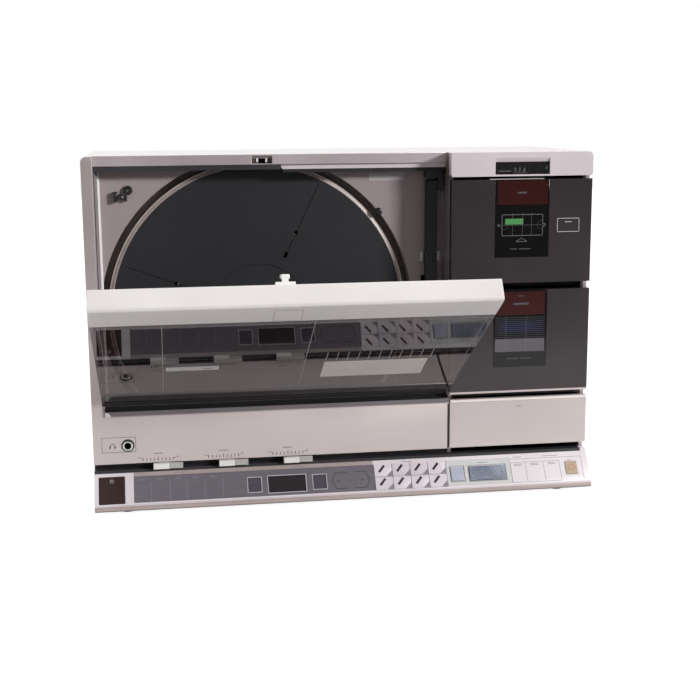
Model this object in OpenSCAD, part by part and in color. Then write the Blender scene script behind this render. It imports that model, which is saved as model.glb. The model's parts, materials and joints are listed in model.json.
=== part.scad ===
// Vertical turntable stereo system: an upright record bay behind a fold-down lid,
// a cassette column on the right and a sloped control panel along the foot.
// Inside each module, x runs from the cabinet's left side, y back from the front face
// and z up from the cabinet's underside.

/* [Cabinet] */
// Width of the cabinet
cab_w = 512; // [480:1:560]
// Height of the cabinet without its feet
cab_h = 348; // [330:1:380]
// Depth from the front face to the rear cover
cab_d = 198; // [185:1:240]
// Thickness of the cabinet walls
wall = 4; // [3:0.5:5]
// Depth of the doors and panels that stand in front of the cabinet
front_t = 10; // [9:0.5:12]
// Radius of the cabinet's outer corners
corner_r = 5; // [2:0.5:8]
// Thickness of the rear cover
rear_t = 3; // [2:0.5:5]
// Height of the rubber feet
foot_h = 5; // [3:0.5:10]
// Radius of the rubber feet
foot_r = 9; // [6:0.5:12]

/* [Record bay] */
// Width of the front post left of the bay
post_w = 10.5; // [9:0.5:14]
// Height of the strip across the top of the bay
strip_h = 10; // [8:0.5:14]
// Distance of the strip behind the front face
strip_y = 21; // [21:0.5:23]
// Distance of the deck plate behind the front face
deck_y = 38; // [38:0.5:42]
// Thickness of the strip, the deck plate and the well's wall
sheet_t = 3; // [2:0.5:3]
// Gap between the platter and the well's wall
well_gap = 6; // [4:0.5:8]
// Depth of the platter's well
well_depth = 24; // [24:0.5:30]
// Radius of the record's label, where the arm stops
label_r = 60; // [50:1:65]

/* [Platter and drive] */
// Thickness of the platter's disc
platter_t = 4; // [3:0.5:5]
// Width of the platter's outer rim
rim_w = 6; // [4:0.5:8]
// Thickness of the rubber mat
mat_t = 3; // [2:0.25:3]
// Radius of the spindle's free end, for a standard record
spindle_r = 3.6; // [3.4:0.05:3.6]
// Length of the spindle's free end in front of the mat
spindle_len = 8; // [6:0.5:8]
// Radius of the spindle's shaft
shaft_r = 4; // [4:0.25:5]
// Distance of the drive ring from the platter's edge
ring_inset = 66; // [56:1:72]
// Radius of the motor pulley
pulley_r = 6.5; // [5:0.25:8]
// Distance of the motor pulley from the drive ring
drive_reach = 28; // [24:1:32]
// Direction of the motor pulley from the spindle, in degrees
drive_angle = -42; // [-60:1:-30]
// Width of the flat drive belt
belt_w = 5; // [3:0.5:5]

/* [Tonearm] */
// Width of the hanging arm
arm_w = 11.5; // [9:0.5:12]
// Thickness of the hanging arm
arm_t = 8; // [6:0.5:8]
// Radius of the guide rod
rod_r = 2; // [1.5:0.25:2.5]

/* [Lid] */
// Angle that the lid is drawn open
lid_open = 58.3; // [0:0.1:60]
// Depth of the lid's top bar and side walls
lid_depth = 20; // [17:0.5:20]
// Height of the lid's top bar
bar_h = 33.5; // [28:0.5:40]
// Thickness of the smoked window
window_t = 3; // [2.5:0.25:4]
// Radius of the black hinge rail
rail_r = 3.6; // [3:0.1:3.8]

/* [Column] */
// Width of the column
col_w = 148; // [140:0.5:165]
// Height of the fascia over the tape door
fascia_h = 22.6; // [20:0.2:26]
// Gap between the tape door and the storage door
door_gap = 7.3; // [7:0.1:9]
// Gap between the tape door and the fascia over it
fascia_gap = 4.7; // [3:0.1:6]
// Thickness of the two doors
door_t = 8; // [7:0.5:9]
// Width of the dark windows in the doors and the fascia
pane_w = 57; // [50:0.5:60]
// Height of the doors below their dark windows
pane_sill = 27.5; // [22:0.5:32]

/* [Lower front] */
// Height of the lower front panel and the flap
lower_h = 48; // [46:0.5:49]
// Height of the bevel along the panel's top
bevel_h = 9.5; // [6:0.5:9.5]
// Height of the dark channel that the sliders run in
channel_h = 6.7; // [6:0.1:7]
// Travel of a slider to each side
slide_half = 15; // [10:0.5:16]

/* [Control panel] */
// Height of the lip under the sloped face
lip_h = 7.5; // [6:0.5:9]
// Rise of the sloped face
slope_rise = 29; // [27:0.5:30]
// Distance that the sloped face reaches forward
slope_run = 21.5; // [18:0.5:24]
// Depth of the keys behind the sloped face
key_t = 5; // [4:0.5:6]
// Height of a key above the sloped face
key_proud = 0.6; // [0.3:0.1:1]
// Travel of a key
key_travel = 1.2; // [0.5:0.1:1.5]

/* [Fits] */
// Gap round a key, a pane or a door
fit_gap = 0.4; // [0.3:0.05:0.5]
// Running clearance of a shaft or a hinge pin on its radius
run_gap = 0.05; // [0.02:0.01:0.1]
// Gap between curved faces that move past each other
curve_gap = 0.3; // [0.2:0.05:0.5]
// Radius of the door hinge pins
pin_r = 2; // [1.5:0.1:2]

/* [Hidden] */
$fn = 96;
eps = 0.01;

// Heights of the front, stacked from the control panel up
ctrl_top = lip_h + slope_rise;
lower_z = ctrl_top + channel_h;
lower_top = lower_z + lower_h;
hinge_y = 4;
hinge_z = lower_top + bevel_h + 5.8;
storage_z = lower_top + 11.3;
fascia_z = cab_h - fascia_h;
door_h = (fascia_z - fascia_gap - door_gap - storage_z) / 2;
storage_top = storage_z + door_h;
tape_z = storage_top + door_gap;
tape_top = tape_z + door_h;
pane_h = door_h - pane_sill;
strip_z = cab_h - strip_h;
lid_top = cab_h - 1;
slope_angle = atan(slope_run / slope_rise);
slope_len = norm([slope_run, slope_rise]);

// Widths of the front
col_x = cab_w - col_w;
bay_w = col_x - post_w;
col_mid = col_x + col_w / 2;
cheek_t = 3;
cheek_l = col_x + fit_gap + wall;
cheek_r = cab_w - wall;

// Platter and drive, sized by what the cabinet and the bay leave for the well
well_r = min((cab_h - 28) / 2, (bay_w - 33.5) / 2);
disc_x = post_w + well_r + 1.5;
disc_z = cab_h - well_r - 1;
platter_r = well_r - well_gap;
mat_r = platter_r - rim_w;
ring_r = platter_r - ring_inset;
drive_span = ring_r + drive_reach;

// Depths behind the deck plate, from the front back
mat_y = deck_y + 4;
platter_y = mat_y + mat_t;
floor_y = deck_y + well_depth;
skirt_y = floor_y - 4;
rear_y = cab_d - rear_t;
shaft_end = floor_y + 24;
pulley_x = disc_x + drive_span * cos(drive_angle);
pulley_z = disc_z + drive_span * sin(drive_angle);
motor_shaft_r = 1.5;
belt_t = 1.2;
belt_y = floor_y - 5 - belt_w;

// Tonearm at its rest beside the well
arm_x = col_x - 14;
guide_y = strip_y + 10;
guide_z = cab_h - wall - 4;
arm_travel = arm_x - disc_x - label_r;
rod_start = arm_x - arm_travel - 36;
carriage_w = 17;
carriage_top = guide_z + rod_r + 1.5;
carriage_z = carriage_top - 35;
arm_y = guide_y - arm_t / 2;
arm_pivot_z = carriage_z + 8;

// Catch between the strip and the lid's hook
latch_x = disc_x + 4;
latch_w = 20;
jaw_t = 2.6;
neck_w = 5.6;

// Doors
door_hinge_y = front_t + 4;
door_hinge_up = 7;
door_tip = 30;
door_heel = door_hinge_y - (door_hinge_y - front_t + fit_gap + door_hinge_up * sin(door_tip)) / cos(door_tip);
door_w = col_w - 2 * fit_gap;
lug_t = 4;
tape_well_y = door_t + 14.5;
cassette_w = 102;
hub_span = 42.5;
holder_z = tape_z + 18;
hub_z = holder_z + 39;
bin_reach = door_h - 17.5;
bin_w = col_w - 34;
plate_y = tape_well_y + 14;
flap_hinge_y = 5.6;
flap_hinge_z = lower_z + 4;
flap_pin_r = 1.5;
flap_skin = 2.5;
chassis_depth = door_hinge_y + bin_reach + 6;

// Counter behind the fascia
counter_h = 12.8;
counter_z = fascia_z + counter_h / 2;
wheel_r = 4.2;
wheel_w = 5.6;
wheel_y = front_t + 2;

// The panel's fields are laid out on a width of 512 and follow the cabinet's width
panel_unit = cab_w / 512;

// Sliders, each at the middle of its scale
slider_x = panel_unit * [66.8, 132.6, 198.4];
slider_z = ctrl_top + channel_h / 2;
slider_cap_w = 15.8;
slider_grip_w = 13.6;
slider_stem_w = 5;
slider_stem_h = 2;

// Control panel fields: left and right edge, lower and upper edge up the slope
power_field = [4.3, 30.1, 0.6, 29.6];
film_field = [38.6, 282.4, 0.8, 29.2];
level_field = [358.8, 427.4, 0.8, 29.2];
display_fields = [[152.5, 166.2, 5.8, 21.4], [173, 211.6, 4.2, 22.2], [218.8, 232.8, 5.6, 21.2]];
mute_field = [363, 376.8, 6.4, 22];
volume_field = [382.6, 421.4, 5.8, 22];
record_field = [486.4, 499.4, 7.4, 22.4];
preset_x = 282.8;
preset_pitch = 18.9;
preset_v = 0.8;
preset_row = 14.2;
preset_count = 8;
film_t = 0.4;
lens_t = 2;

preset_names = [for (i = [1:preset_count]) str("preset_", i)];

// Shared shapes

module place() {
    translate([-cab_w / 2, 0, foot_h]) children();
}

module slab(x0, x1, y0, y1, z0, z1) {
    translate([x0, y0, z0]) cube([x1 - x0, y1 - y0, z1 - z0]);
}

// A y-z profile run along x
module along_x(x0, x1) {
    translate([x0, 0, 0]) rotate([90, 0, 90]) linear_extrude(x1 - x0) children();
}

// An x-z profile run along y
module along_y(y0, y1) {
    translate([0, y1, 0]) rotate([90, 0, 0]) linear_extrude(y1 - y0) children();
}

module rod_x(x0, x1, y, z, r) {
    translate([x0, y, z]) rotate([0, 90, 0]) cylinder(h = x1 - x0, r = r);
}

module rod_y(x, z, y0, y1, r) {
    translate([x, y0, z]) rotate([-90, 0, 0]) cylinder(h = y1 - y0, r = r);
}

// A turned piece: radius across, distance behind the front face up
module turned(x, z) {
    translate([x, 0, z]) rotate([-90, 0, 0]) rotate_extrude() children();
}

module round_rect(x0, x1, z0, z1, r) {
    translate([x0 + r, z0]) square([x1 - x0 - 2 * r, z1 - z0]);
    translate([x0, z0 + r]) square([x1 - x0, z1 - z0 - 2 * r]);
    for (x = [x0 + r, x1 - r], z = [z0 + r, z1 - r]) translate([x, z]) circle(r);
}

// Local frame of the sloped face: x along the panel, z up the slope, -y out of the face
module on_slope() {
    translate([0, -slope_run, lip_h]) rotate([-slope_angle, 0, 0]) children();
}

// A field of the sloped face as a block from y0 to y1, shrunk all round by gap
module field(f, y0, y1, gap = 0) {
    slab(panel_unit * f[0] + gap, panel_unit * f[1] - gap, y0, y1, f[2] + gap, f[3] - gap);
}

function preset_field(i) =
    let (col = (i - 1) % 4, row = floor((i - 1) / 4))
    [preset_x + col * preset_pitch, preset_x + (col + 1) * preset_pitch,
     preset_v + (1 - row) * preset_row, preset_v + (2 - row) * preset_row];

key_fields = concat([power_field, mute_field, volume_field, record_field],
    [for (i = [1:preset_count]) preset_field(i)]);

// Everything that folds with the lid, drawn closed and turned about the hinge
module lid_pose() {
    translate([0, hinge_y, hinge_z]) rotate([lid_open, 0, 0]) translate([0, -hinge_y, -hinge_z]) children();
}

// Cabinet and front

module cabinet() {
    color("dimgray") place() difference() {
        union() {
            along_y(front_t, rear_y) difference() {
                round_rect(0, cab_w, 0, cab_h, corner_r);
                translate([wall, wall]) square([cab_w - 2 * wall, cab_h - 2 * wall]);
            }
            slab(col_x + fit_gap, cheek_l, front_t, chassis_depth, wall - eps, cab_h - wall + eps);
        }
        slab(post_w, col_x, 0, strip_y + sheet_t, cab_h - wall - eps, cab_h + eps);
        slab(-eps, post_w, 0, strip_y + sheet_t, lower_top - 1, cab_h + eps);
        slab(-eps, cab_w + eps, 0, front_t + 3, -eps, ctrl_top - corner_r);
    }
}

module rear_cover() {
    slot_w = 3;
    slot_h = 34;
    slot_pitch = 9;
    slot_x = cab_w / 2 - 11.5 * slot_pitch;
    slot_z = cab_h - 128;
    slot_step = 50;
    color("dimgray") place() difference() {
        along_y(rear_y, cab_d) round_rect(wall / 2, cab_w - wall / 2, wall / 2, cab_h - wall / 2, corner_r);
        for (row = [0, 1], i = [0:23])
            slab(slot_x + i * slot_pitch, slot_x + i * slot_pitch + slot_w, rear_y - 1, cab_d + 1,
                slot_z + row * slot_step, slot_z + row * slot_step + slot_h);
    }
}

module feet() {
    color("black") place()
        for (x = [32, cab_w - 32], y = [0, rear_y - 20])
            translate([x, y, -foot_h]) cylinder(h = foot_h, r1 = foot_r - 1, r2 = foot_r);
}

module front_frame() {
    color("silver") place() difference() {
        union() {
            along_x(0, col_x - fit_gap) polygon([[0, lower_z], [0, lower_top], [bevel_h, lower_top + bevel_h],
                [front_t, lower_top + bevel_h], [front_t, lower_top + bevel_h - sheet_t],
                [sheet_t, lower_top - sheet_t], [sheet_t, lower_z + sheet_t], [front_t, lower_z + sheet_t],
                [front_t, lower_z]]);
            slab(0, sheet_t, 0, front_t, lower_z, lower_top + bevel_h);
            along_y(0, strip_y + sheet_t) difference() {
                translate([0, lower_z]) round_rect(0, 2 * post_w, 0, cab_h - lower_z, corner_r);
                translate([post_w, lower_z - 1]) square([2 * post_w, cab_h]);
                translate([-1, lower_z - 1]) square([2 * post_w + 2, lower_h]);
            }
        }
        rod_y(34.2, lower_z + 18.7, -1, front_t, 6 + fit_gap);
        rod_x(post_w - 5, post_w + 1, hinge_y, hinge_z, pin_r + run_gap);
    }
}

module front_chassis() {
    ear = 3.5;
    ear_r = col_x - fit_gap;
    color("black") place() difference() {
        union() {
            slab(wall, col_x - fit_gap, front_t, front_t + 3, ctrl_top - corner_r, lower_top + bevel_h + 3);
            slab(ear_r - ear, ear_r, 0.6, front_t + 3, lower_top + bevel_h, hinge_z);
            rod_x(ear_r - ear, ear_r, hinge_y, hinge_z, 3.4);
        }
        slab(0, post_w, front_t - 1, front_t + 4, lower_top - 1, lower_top + bevel_h + 4);
        rod_x(ear_r - ear - 1, ear_r + 1, hinge_y, hinge_z, pin_r + run_gap);
        rod_y(34.2, lower_z + 18.7, 0, front_t + 4, 6 + fit_gap);
        for (x = slider_x)
            slab(x - slide_half - slider_stem_w / 2 - 1, x + slide_half + slider_stem_w / 2 + 1, front_t - 1,
                front_t + 4, slider_z - slider_stem_h / 2 - fit_gap, slider_z + slider_stem_h / 2 + fit_gap);
    }
}

module top_strip() {
    color("silver") place() difference() {
        slab(post_w, col_x, strip_y, strip_y + sheet_t, strip_z, cab_h);
        slab(latch_x - latch_w / 2, latch_x + latch_w / 2, strip_y - 1, strip_y + sheet_t + 1,
            strip_z + 1, cab_h - 1.5);
    }
}

module deck_plate() {
    draft = 5;
    color("gray") place() difference() {
        union() {
            slab(post_w, col_x, deck_y, deck_y + sheet_t, wall + 18, cab_h - wall);
            intersection() {
                rod_y(disc_x, disc_z, deck_y, floor_y + sheet_t, well_r + sheet_t);
                slab(wall, col_x, deck_y, floor_y + sheet_t, wall + 1, cab_h - wall);
            }
            bay_draft(draft);
        }
        intersection() {
            rod_y(disc_x, disc_z, deck_y - 1, floor_y, well_r);
            slab(wall, col_x, deck_y - 1, floor_y, wall + 1, cab_h - wall + 1);
        }
        rod_y(disc_x, disc_z, floor_y - 1, floor_y + sheet_t + 1, 11 + fit_gap);
        rod_y(pulley_x, pulley_z, floor_y - 1, floor_y + sheet_t + 1, 12);
        slab(arm_x - arm_w / 2 - 3, arm_x + arm_w / 2 + 3, deck_y - 1, deck_y + sheet_t + 1,
            disc_z - 24, disc_z + 34);
    }
}

// The bay's left side slants in towards the deck plate
module bay_draft(draft) {
    translate([0, 0, lower_top]) linear_extrude(cab_h - wall - lower_top)
        polygon([[post_w, strip_y + sheet_t], [post_w, deck_y], [post_w + draft, deck_y]]);
}

// Control panel

module control_base() {
    back = front_t;
    color("gainsboro") place() difference() {
        union() {
            along_x(0, cab_w) union() {
                polygon([[0, ctrl_top], [-slope_run, lip_h], [-slope_run + lip_h / 2 - 2, 0], [back, 0],
                    [back, ctrl_top]]);
                translate([-slope_run + lip_h / 2 - 2, lip_h / 2]) circle(lip_h / 2);
            }
            slab(corner_r, cab_w - corner_r, back - eps, back + 3, 0, ctrl_top - corner_r - fit_gap);
        }
        on_slope() {
            for (f = key_fields) field(f, -1, key_t + key_travel + 0.3);
            for (f = display_fields) field(f, -1, lens_t + film_t);
            for (f = [film_field, level_field]) field(f, -1, film_t);
        }
    }
}

module display_windows() {
    color("black", 0.9) place() on_slope()
        for (f = display_fields) field(f, film_t, lens_t + film_t, fit_gap / 4);
}

module plain_key(f) {
    place() on_slope() field(f, -key_proud, key_t, fit_gap / 2);
}

module power_button() {
    color("saddlebrown") plain_key(power_field);
}

module mute_button() {
    color("lightsteelblue") plain_key(mute_field);
}

module record_button() {
    color("tan") plain_key(record_field);
}

// A rocker that tips about a line up the slope through its middle
module volume_rocker() {
    f = volume_field;
    color("slategray") place() on_slope() {
        difference() {
            field(f, -key_proud, key_t, fit_gap);
            for (x = panel_unit * [f[0], f[1]])
                translate([x, key_t + 0.4, 0]) rotate([0, 0, 45]) cube([6, 6, 200], center = true);
        }
        translate([panel_unit * (f[0] + f[1]) / 2, key_t, f[2] + fit_gap])
            cylinder(h = f[3] - f[2] - 2 * fit_gap, r = 1);
    }
}

// A preset key with its slanting lamp slot and its chamfered lower corner
module preset_key(i) {
    f = preset_field(i);
    right = panel_unit * f[1];
    mid = [panel_unit * (f[0] + f[1]) / 2, (f[2] + f[3]) / 2];
    color("lavender") place() on_slope() difference() {
        field(f, -key_proud, key_t, fit_gap / 2);
        translate([mid[0] - 1.5, -key_proud, mid[1] + 1.5]) rotate([0, 40, 0])
            cube([2, 0.8, 8], center = true);
        translate([right, -key_proud, f[2]]) rotate([0, 45, 0]) cube([8, 0.8, 8], center = true);
    }
}

module slider(x) {
    cap_y = -5;
    color("white") place() {
        slab(x - slider_cap_w / 2, x + slider_cap_w / 2, cap_y, 1, slider_z - 2.7, slider_z + 2.7);
        slab(x + slider_cap_w / 2, x + slider_cap_w / 2 + slider_grip_w, cap_y + 1.2, 1,
            slider_z - 2.5, slider_z + 2.3);
        slab(x - slider_stem_w / 2, x + slider_stem_w / 2, 0.9, front_t + 6,
            slider_z - slider_stem_h / 2, slider_z + slider_stem_h / 2);
    }
}

module phones_jack() {
    jack_r = 3.2;
    color("black") place() difference() {
        union() {
            rod_y(34.2, lower_z + 18.7, -1, 24, 6);
            rod_y(34.2, lower_z + 18.7, sheet_t, sheet_t + 2, 8);
        }
        rod_y(34.2, lower_z + 18.7, -2, 20, jack_r);
    }
}

// Column

module tape_fascia() {
    shell = 2.5;
    bezel = 4.4;
    pane_l = col_mid - pane_w / 2;
    pane_r = col_mid + pane_w / 2;
    cheek = wheel_w * 1.5 + 2;
    color("silver") place() difference() {
        union() {
            difference() {
                along_y(0, front_t) intersection() {
                    round_rect(col_x - 20, cab_w, fascia_z - 20, cab_h, corner_r);
                    translate([col_x, fascia_z]) square([col_w, cab_h - fascia_z]);
                }
                slab(col_x + shell, cab_w - shell, shell, front_t + 1, fascia_z + shell, cab_h - shell);
            }
            for (s = [-1, 1])
                slab(col_mid - 1 + s * cheek - 1.2, col_mid - 1 + s * cheek + 1.2, shell,
                    wheel_y + 3, fascia_z, counter_z + 3.5);
        }
        slab(pane_l, pane_r, -1, front_t - 4, fascia_z - 1, fascia_z + counter_h);
        translate([pane_l, 0, fascia_z + counter_h + bezel]) rotate([0, 90, 0])
            linear_extrude(pane_w) polygon([[-eps, -eps], [bezel + eps, -eps], [bezel + eps, shell]]);
        rod_x(col_mid - 1 - cheek - 2, col_mid - 1 + cheek + 2, wheel_y, counter_z, 1.2 + run_gap);
    }
}

module counter_window() {
    reset_x = col_mid + 24.8;
    color("black", 0.9) place() difference() {
        slab(col_mid - pane_w / 2 + fit_gap / 2, col_mid + pane_w / 2 - fit_gap / 2, 3, 5,
            fascia_z, fascia_z + counter_h - fit_gap / 2);
        rod_y(reset_x, counter_z, 2, 6, 2 + fit_gap / 2);
    }
}

module counter_wheels() {
    color("black") place() {
        rod_x(col_mid - 1 - wheel_w * 1.5 - 3, col_mid - 1 + wheel_w * 1.5 + 3, wheel_y, counter_z, 1.2);
        for (i = [0:2])
            rod_x(col_mid - 1 + (i - 1.5) * wheel_w + 0.2, col_mid - 1 + (i - 0.5) * wheel_w - 0.2,
                wheel_y, counter_z, wheel_r);
    }
}

module counter_reset() {
    reset_x = col_mid + 24.8;
    color("dimgray") place() {
        rod_y(reset_x, counter_z, 1.5, 9, 2);
        rod_y(reset_x, counter_z, 7.7, 10, 2.8);
    }
}

module column_chassis() {
    z0 = lower_z - 2.5;
    color("black") place() difference() {
        union() {
            for (x = [cheek_l, cheek_r - cheek_t])
                slab(x, x + cheek_t, front_t, chassis_depth, z0, cab_h - wall);
            slab(cheek_l, cheek_r, door_hinge_y + 6, chassis_depth, storage_top + 1, storage_top + 4);
            slab(cheek_l, cheek_r, front_t, chassis_depth, lower_top + 4.5, storage_z - 4);
            slab(cheek_l, cheek_r, front_t + 30, front_t + 33, z0, lower_top + 4.6);
            slab(cheek_l, cheek_r, front_t, front_t + 31, z0, lower_z + 0.5);
            for (x = [cheek_l + cheek_t, cheek_r - cheek_t - lug_t]) {
                rod_x(x, x + lug_t, flap_hinge_y, flap_hinge_z, 2.6);
                slab(x, x + lug_t, flap_hinge_y, front_t + 5, flap_hinge_z - 2.6, flap_hinge_z + 2.6);
            }
        }
        for (z = [storage_z, tape_z])
            rod_x(cheek_l - 1, cheek_r + 1, door_hinge_y, z + door_hinge_up, pin_r + run_gap);
        rod_x(cheek_l - 1, cheek_r + 1, flap_hinge_y, flap_hinge_z, flap_pin_r + run_gap);
    }
}

// Two lugs behind a door, with the pins that turn in the chassis
module door_lugs(z) {
    for (s = [0, 1]) {
        lug = s == 0 ? cheek_l + cheek_t + fit_gap : cheek_r - cheek_t - fit_gap - lug_t;
        pin = s == 0 ? cheek_l + 0.3 : cheek_r - cheek_t - fit_gap - eps;
        slab(lug, lug + lug_t, door_t - eps, door_hinge_y, z + door_hinge_up - 4, z + door_hinge_up + 4);
        rod_x(lug, lug + lug_t, door_hinge_y, z + door_hinge_up, 4);
        rod_x(pin, pin + cheek_t + fit_gap - 0.3 + eps, door_hinge_y, z + door_hinge_up, pin_r);
    }
}

// A door with a flush dark pane that runs up to its top edge
module pane_door(z, h) {
    pane_l = col_mid - pane_w / 2;
    pane_r = col_mid + pane_w / 2;
    frame_w = 4;
    difference() {
        slab(col_x + fit_gap, col_x + fit_gap + door_w, 0, door_t, z, z + h);
        slab(pane_l, pane_r, -1, 2.5, z + h - pane_h, z + h + 1);
        slab(pane_l + frame_w, pane_r - frame_w, -1, door_t + 1, z + h - pane_h + frame_w, z + h - frame_w);
        slab(col_x + fit_gap + sheet_t, pane_l - frame_w, 3, door_t + 1, z + 16, z + h - sheet_t);
        slab(pane_r + frame_w, col_x + door_w - sheet_t, 3, door_t + 1, z + 16, z + h - sheet_t);
        along_x(col_x, cab_w) polygon([[door_heel - 0.3, z - eps], [door_t + eps, z + door_hinge_up - 1],
            [door_t + eps, z - eps]]);
    }
    door_lugs(z);
}

module door_pane(z, h) {
    slab(col_mid - pane_w / 2 + fit_gap / 2, col_mid + pane_w / 2 - fit_gap / 2, 0.1, 2.5,
        z + h - pane_h + fit_gap / 2, z + h);
}

module tape_door() {
    color("dimgray") place() pane_door(tape_z, door_h);
}

module tape_window() {
    color("black", 0.9) place() door_pane(tape_z, door_h);
}

module cassette_holder() {
    side = 2.5;
    holder_l = col_mid - cassette_w / 2;
    holder_r = col_mid + cassette_w / 2;
    holder_h = door_h - 37.4;
    color("black") place() {
        slab(holder_l - side, holder_r + side, door_t, tape_well_y, holder_z, holder_z + side);
        for (s = [0, 1]) {
            x = s == 0 ? holder_l - side : holder_r;
            lip = s == 0 ? holder_l - eps : holder_r - 3 + eps;
            slab(x, x + side, door_t, tape_well_y, holder_z, holder_z + holder_h);
            slab(lip, lip + 3, tape_well_y - 1.5, tape_well_y, holder_z, holder_z + holder_h);
        }
    }
}

module tape_mechanism() {
    plate_l = cheek_l + cheek_t;
    plate_r = cheek_r - cheek_t;
    color("silver") place() difference() {
        union() {
            slab(plate_l, plate_r, plate_y, plate_y + 2, tape_z + 14, tape_top - 4);
            slab(col_mid - 16, col_mid + 16, plate_y - 7, plate_y, hub_z - 46, hub_z - 34);
            for (s = [-1, 1]) rod_y(col_mid + s * 27, hub_z - 33, plate_y - 11, plate_y, 1.2);
            slab(plate_l + 20, plate_r - 20, plate_y + 12, plate_y + 40, hub_z - 30, tape_top - 14);
            for (x = [plate_l + 24, plate_r - 28], z = [hub_z - 26, tape_top - 20])
                slab(x, x + 4, plate_y + 1, plate_y + 13, z, z + 4);
        }
        for (s = [-1, 1])
            rod_y(col_mid + s * hub_span / 2, hub_z, plate_y - 1, plate_y + 3, 1.6 + run_gap);
    }
}

// A reel hub: three fins on a short boss, with its shaft through the mechanism's plate
module reel_hub(s) {
    x = col_mid + s * hub_span / 2;
    front = tape_well_y - 10;
    color("white") place() {
        rod_y(x, hub_z, front + 2, plate_y - 0.4, 3.4);
        rod_y(x, hub_z, plate_y - 2, plate_y - 0.4, 6);
        rod_y(x, hub_z, front + 2, plate_y + 9, 1.6);
        rod_y(x, hub_z, plate_y + 2.4, plate_y + 6, 8);
        for (a = [90, 210, 330])
            translate([x, 0, hub_z]) rotate([0, a, 0]) slab(0, 5, front + 3, plate_y - 1, -0.6, 0.6);
    }
}

// A tilting bin whose back wall follows its hinge, so that it turns clear of its bay
module storage_bin() {
    side = 2.5;
    low = door_hinge_up + 1;
    back_h = bin_reach * 0.6;
    color("dimgray") place() {
        pane_door(storage_z, door_h);
        translate([0, door_hinge_y, storage_z + door_hinge_up]) {
            difference() {
                along_x(col_mid - bin_w / 2, col_mid + bin_w / 2) intersection() {
                    circle(bin_reach);
                    translate([door_t - door_hinge_y, low - door_hinge_up]) square([bin_reach, bin_reach]);
                }
                along_x(col_mid - bin_w / 2 + side, col_mid + bin_w / 2 - side) union() {
                    intersection() {
                        circle(bin_reach - side);
                        translate([door_t - door_hinge_y - 1, low - door_hinge_up + side])
                            square([bin_reach, bin_reach]);
                    }
                    translate([door_t - door_hinge_y - 1, back_h]) square([bin_reach, bin_reach]);
                }
            }
        }
    }
}

module storage_window() {
    color("black", 0.9) place() door_pane(storage_z, door_h);
}

module flap() {
    flap_l = col_x + fit_gap;
    flap_r = cab_w - fit_gap;
    top = lower_top + 3.4;
    depth = 6;
    rib = 3;
    color("silver") place() {
        difference() {
            along_x(flap_l, flap_r) polygon([[0, lower_z + 0.4], [0, lower_top], [1.8, top], [depth, top],
                [depth, lower_z + 0.4]]);
            slab(flap_l + flap_skin, flap_r - flap_skin, flap_skin, depth + 1, lower_z - 1, lower_top);
        }
        for (s = [0, 1]) {
            inner = s == 0 ? cheek_l + cheek_t + lug_t + fit_gap : cheek_r - cheek_t - lug_t - fit_gap - rib;
            pin = s == 0 ? inner - lug_t + 1 : inner + rib - eps;
            slab(inner, inner + rib, flap_skin - eps, flap_hinge_y + 2, flap_hinge_z - 2, flap_hinge_z + 6);
            rod_x(pin, pin + lug_t - 1 + eps, flap_hinge_y, flap_hinge_z, flap_pin_r);
        }
    }
}

// Record player

module platter() {
    color("silver") place() difference() {
        turned(disc_x, disc_z) difference() {
            translate([shaft_r + run_gap, platter_y])
                square([platter_r - shaft_r - run_gap, skirt_y - platter_y]);
            translate([14, platter_y + platter_t]) square([ring_r - 4 - 14, 40]);
            translate([ring_r, platter_y + platter_t]) square([platter_r - rim_w - ring_r, 40]);
            translate([platter_r, platter_y]) rotate(45) square(2.4, center = true);
        }
        disc_slots(platter_y - 1, platter_y + platter_t + 1);
    }
}

// Three small windows for the record-size sensor, on two lines from the middle
module disc_slots(y0, y1) {
    for (s = [[64, 88.5], [64, 64.5], [159.5, 88.5]])
        translate([disc_x, 0, disc_z]) rotate([0, -s[0], 0]) slab(s[1] - 3, s[1] + 3, y0, y1, -1.8, 1.8);
}

module platter_mat() {
    color("darkslategray") place() difference() {
        turned(disc_x, disc_z) difference() {
            translate([shaft_r + 0.5, mat_y]) square([mat_r - shaft_r - 0.5, mat_t]);
            translate([0, mat_y - 1]) square([label_r, 1.6]);
        }
        disc_slots(mat_y - 1, platter_y + 1);
        for (a = [64, 159.5, 244, 339.5])
            translate([disc_x, 0, disc_z]) rotate([0, -a, 0])
                slab(label_r, mat_r - 4, mat_y - 1, mat_y + 0.6, -0.4, 0.4);
    }
}

module spindle() {
    tip = mat_y - spindle_len;
    color("silver") place() turned(disc_x, disc_z) polygon([[0, tip], [spindle_r - 1.4, tip],
        [spindle_r, tip + 2.4], [spindle_r, mat_y + 0.6], [shaft_r - 0.2, mat_y + 0.6],
        [shaft_r - 0.2, platter_y], [shaft_r, platter_y], [shaft_r, shaft_end], [0, shaft_end]]);
}

module platter_bearing() {
    color("goldenrod") place() turned(disc_x, disc_z) polygon([[shaft_r + run_gap, skirt_y + 0.6],
        [11, skirt_y + 0.6], [11, floor_y + sheet_t], [20, floor_y + sheet_t], [20, floor_y + sheet_t + 3],
        [11, floor_y + sheet_t + 3], [11, shaft_end + 4], [0, shaft_end + 4], [0, shaft_end + 1],
        [shaft_r + run_gap, shaft_end + 1]]);
}

module drive_motor() {
    r = 18;
    back = floor_y + sheet_t + 32;
    color("silver") place() turned(pulley_x, pulley_z) polygon([[motor_shaft_r + run_gap, floor_y + sheet_t],
        [r + 4, floor_y + sheet_t], [r + 4, floor_y + sheet_t + 2], [r, floor_y + sheet_t + 2],
        [r, back - 2], [r - 2, back], [0, back], [0, back - 3], [motor_shaft_r + run_gap, back - 3]]);
}

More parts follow.
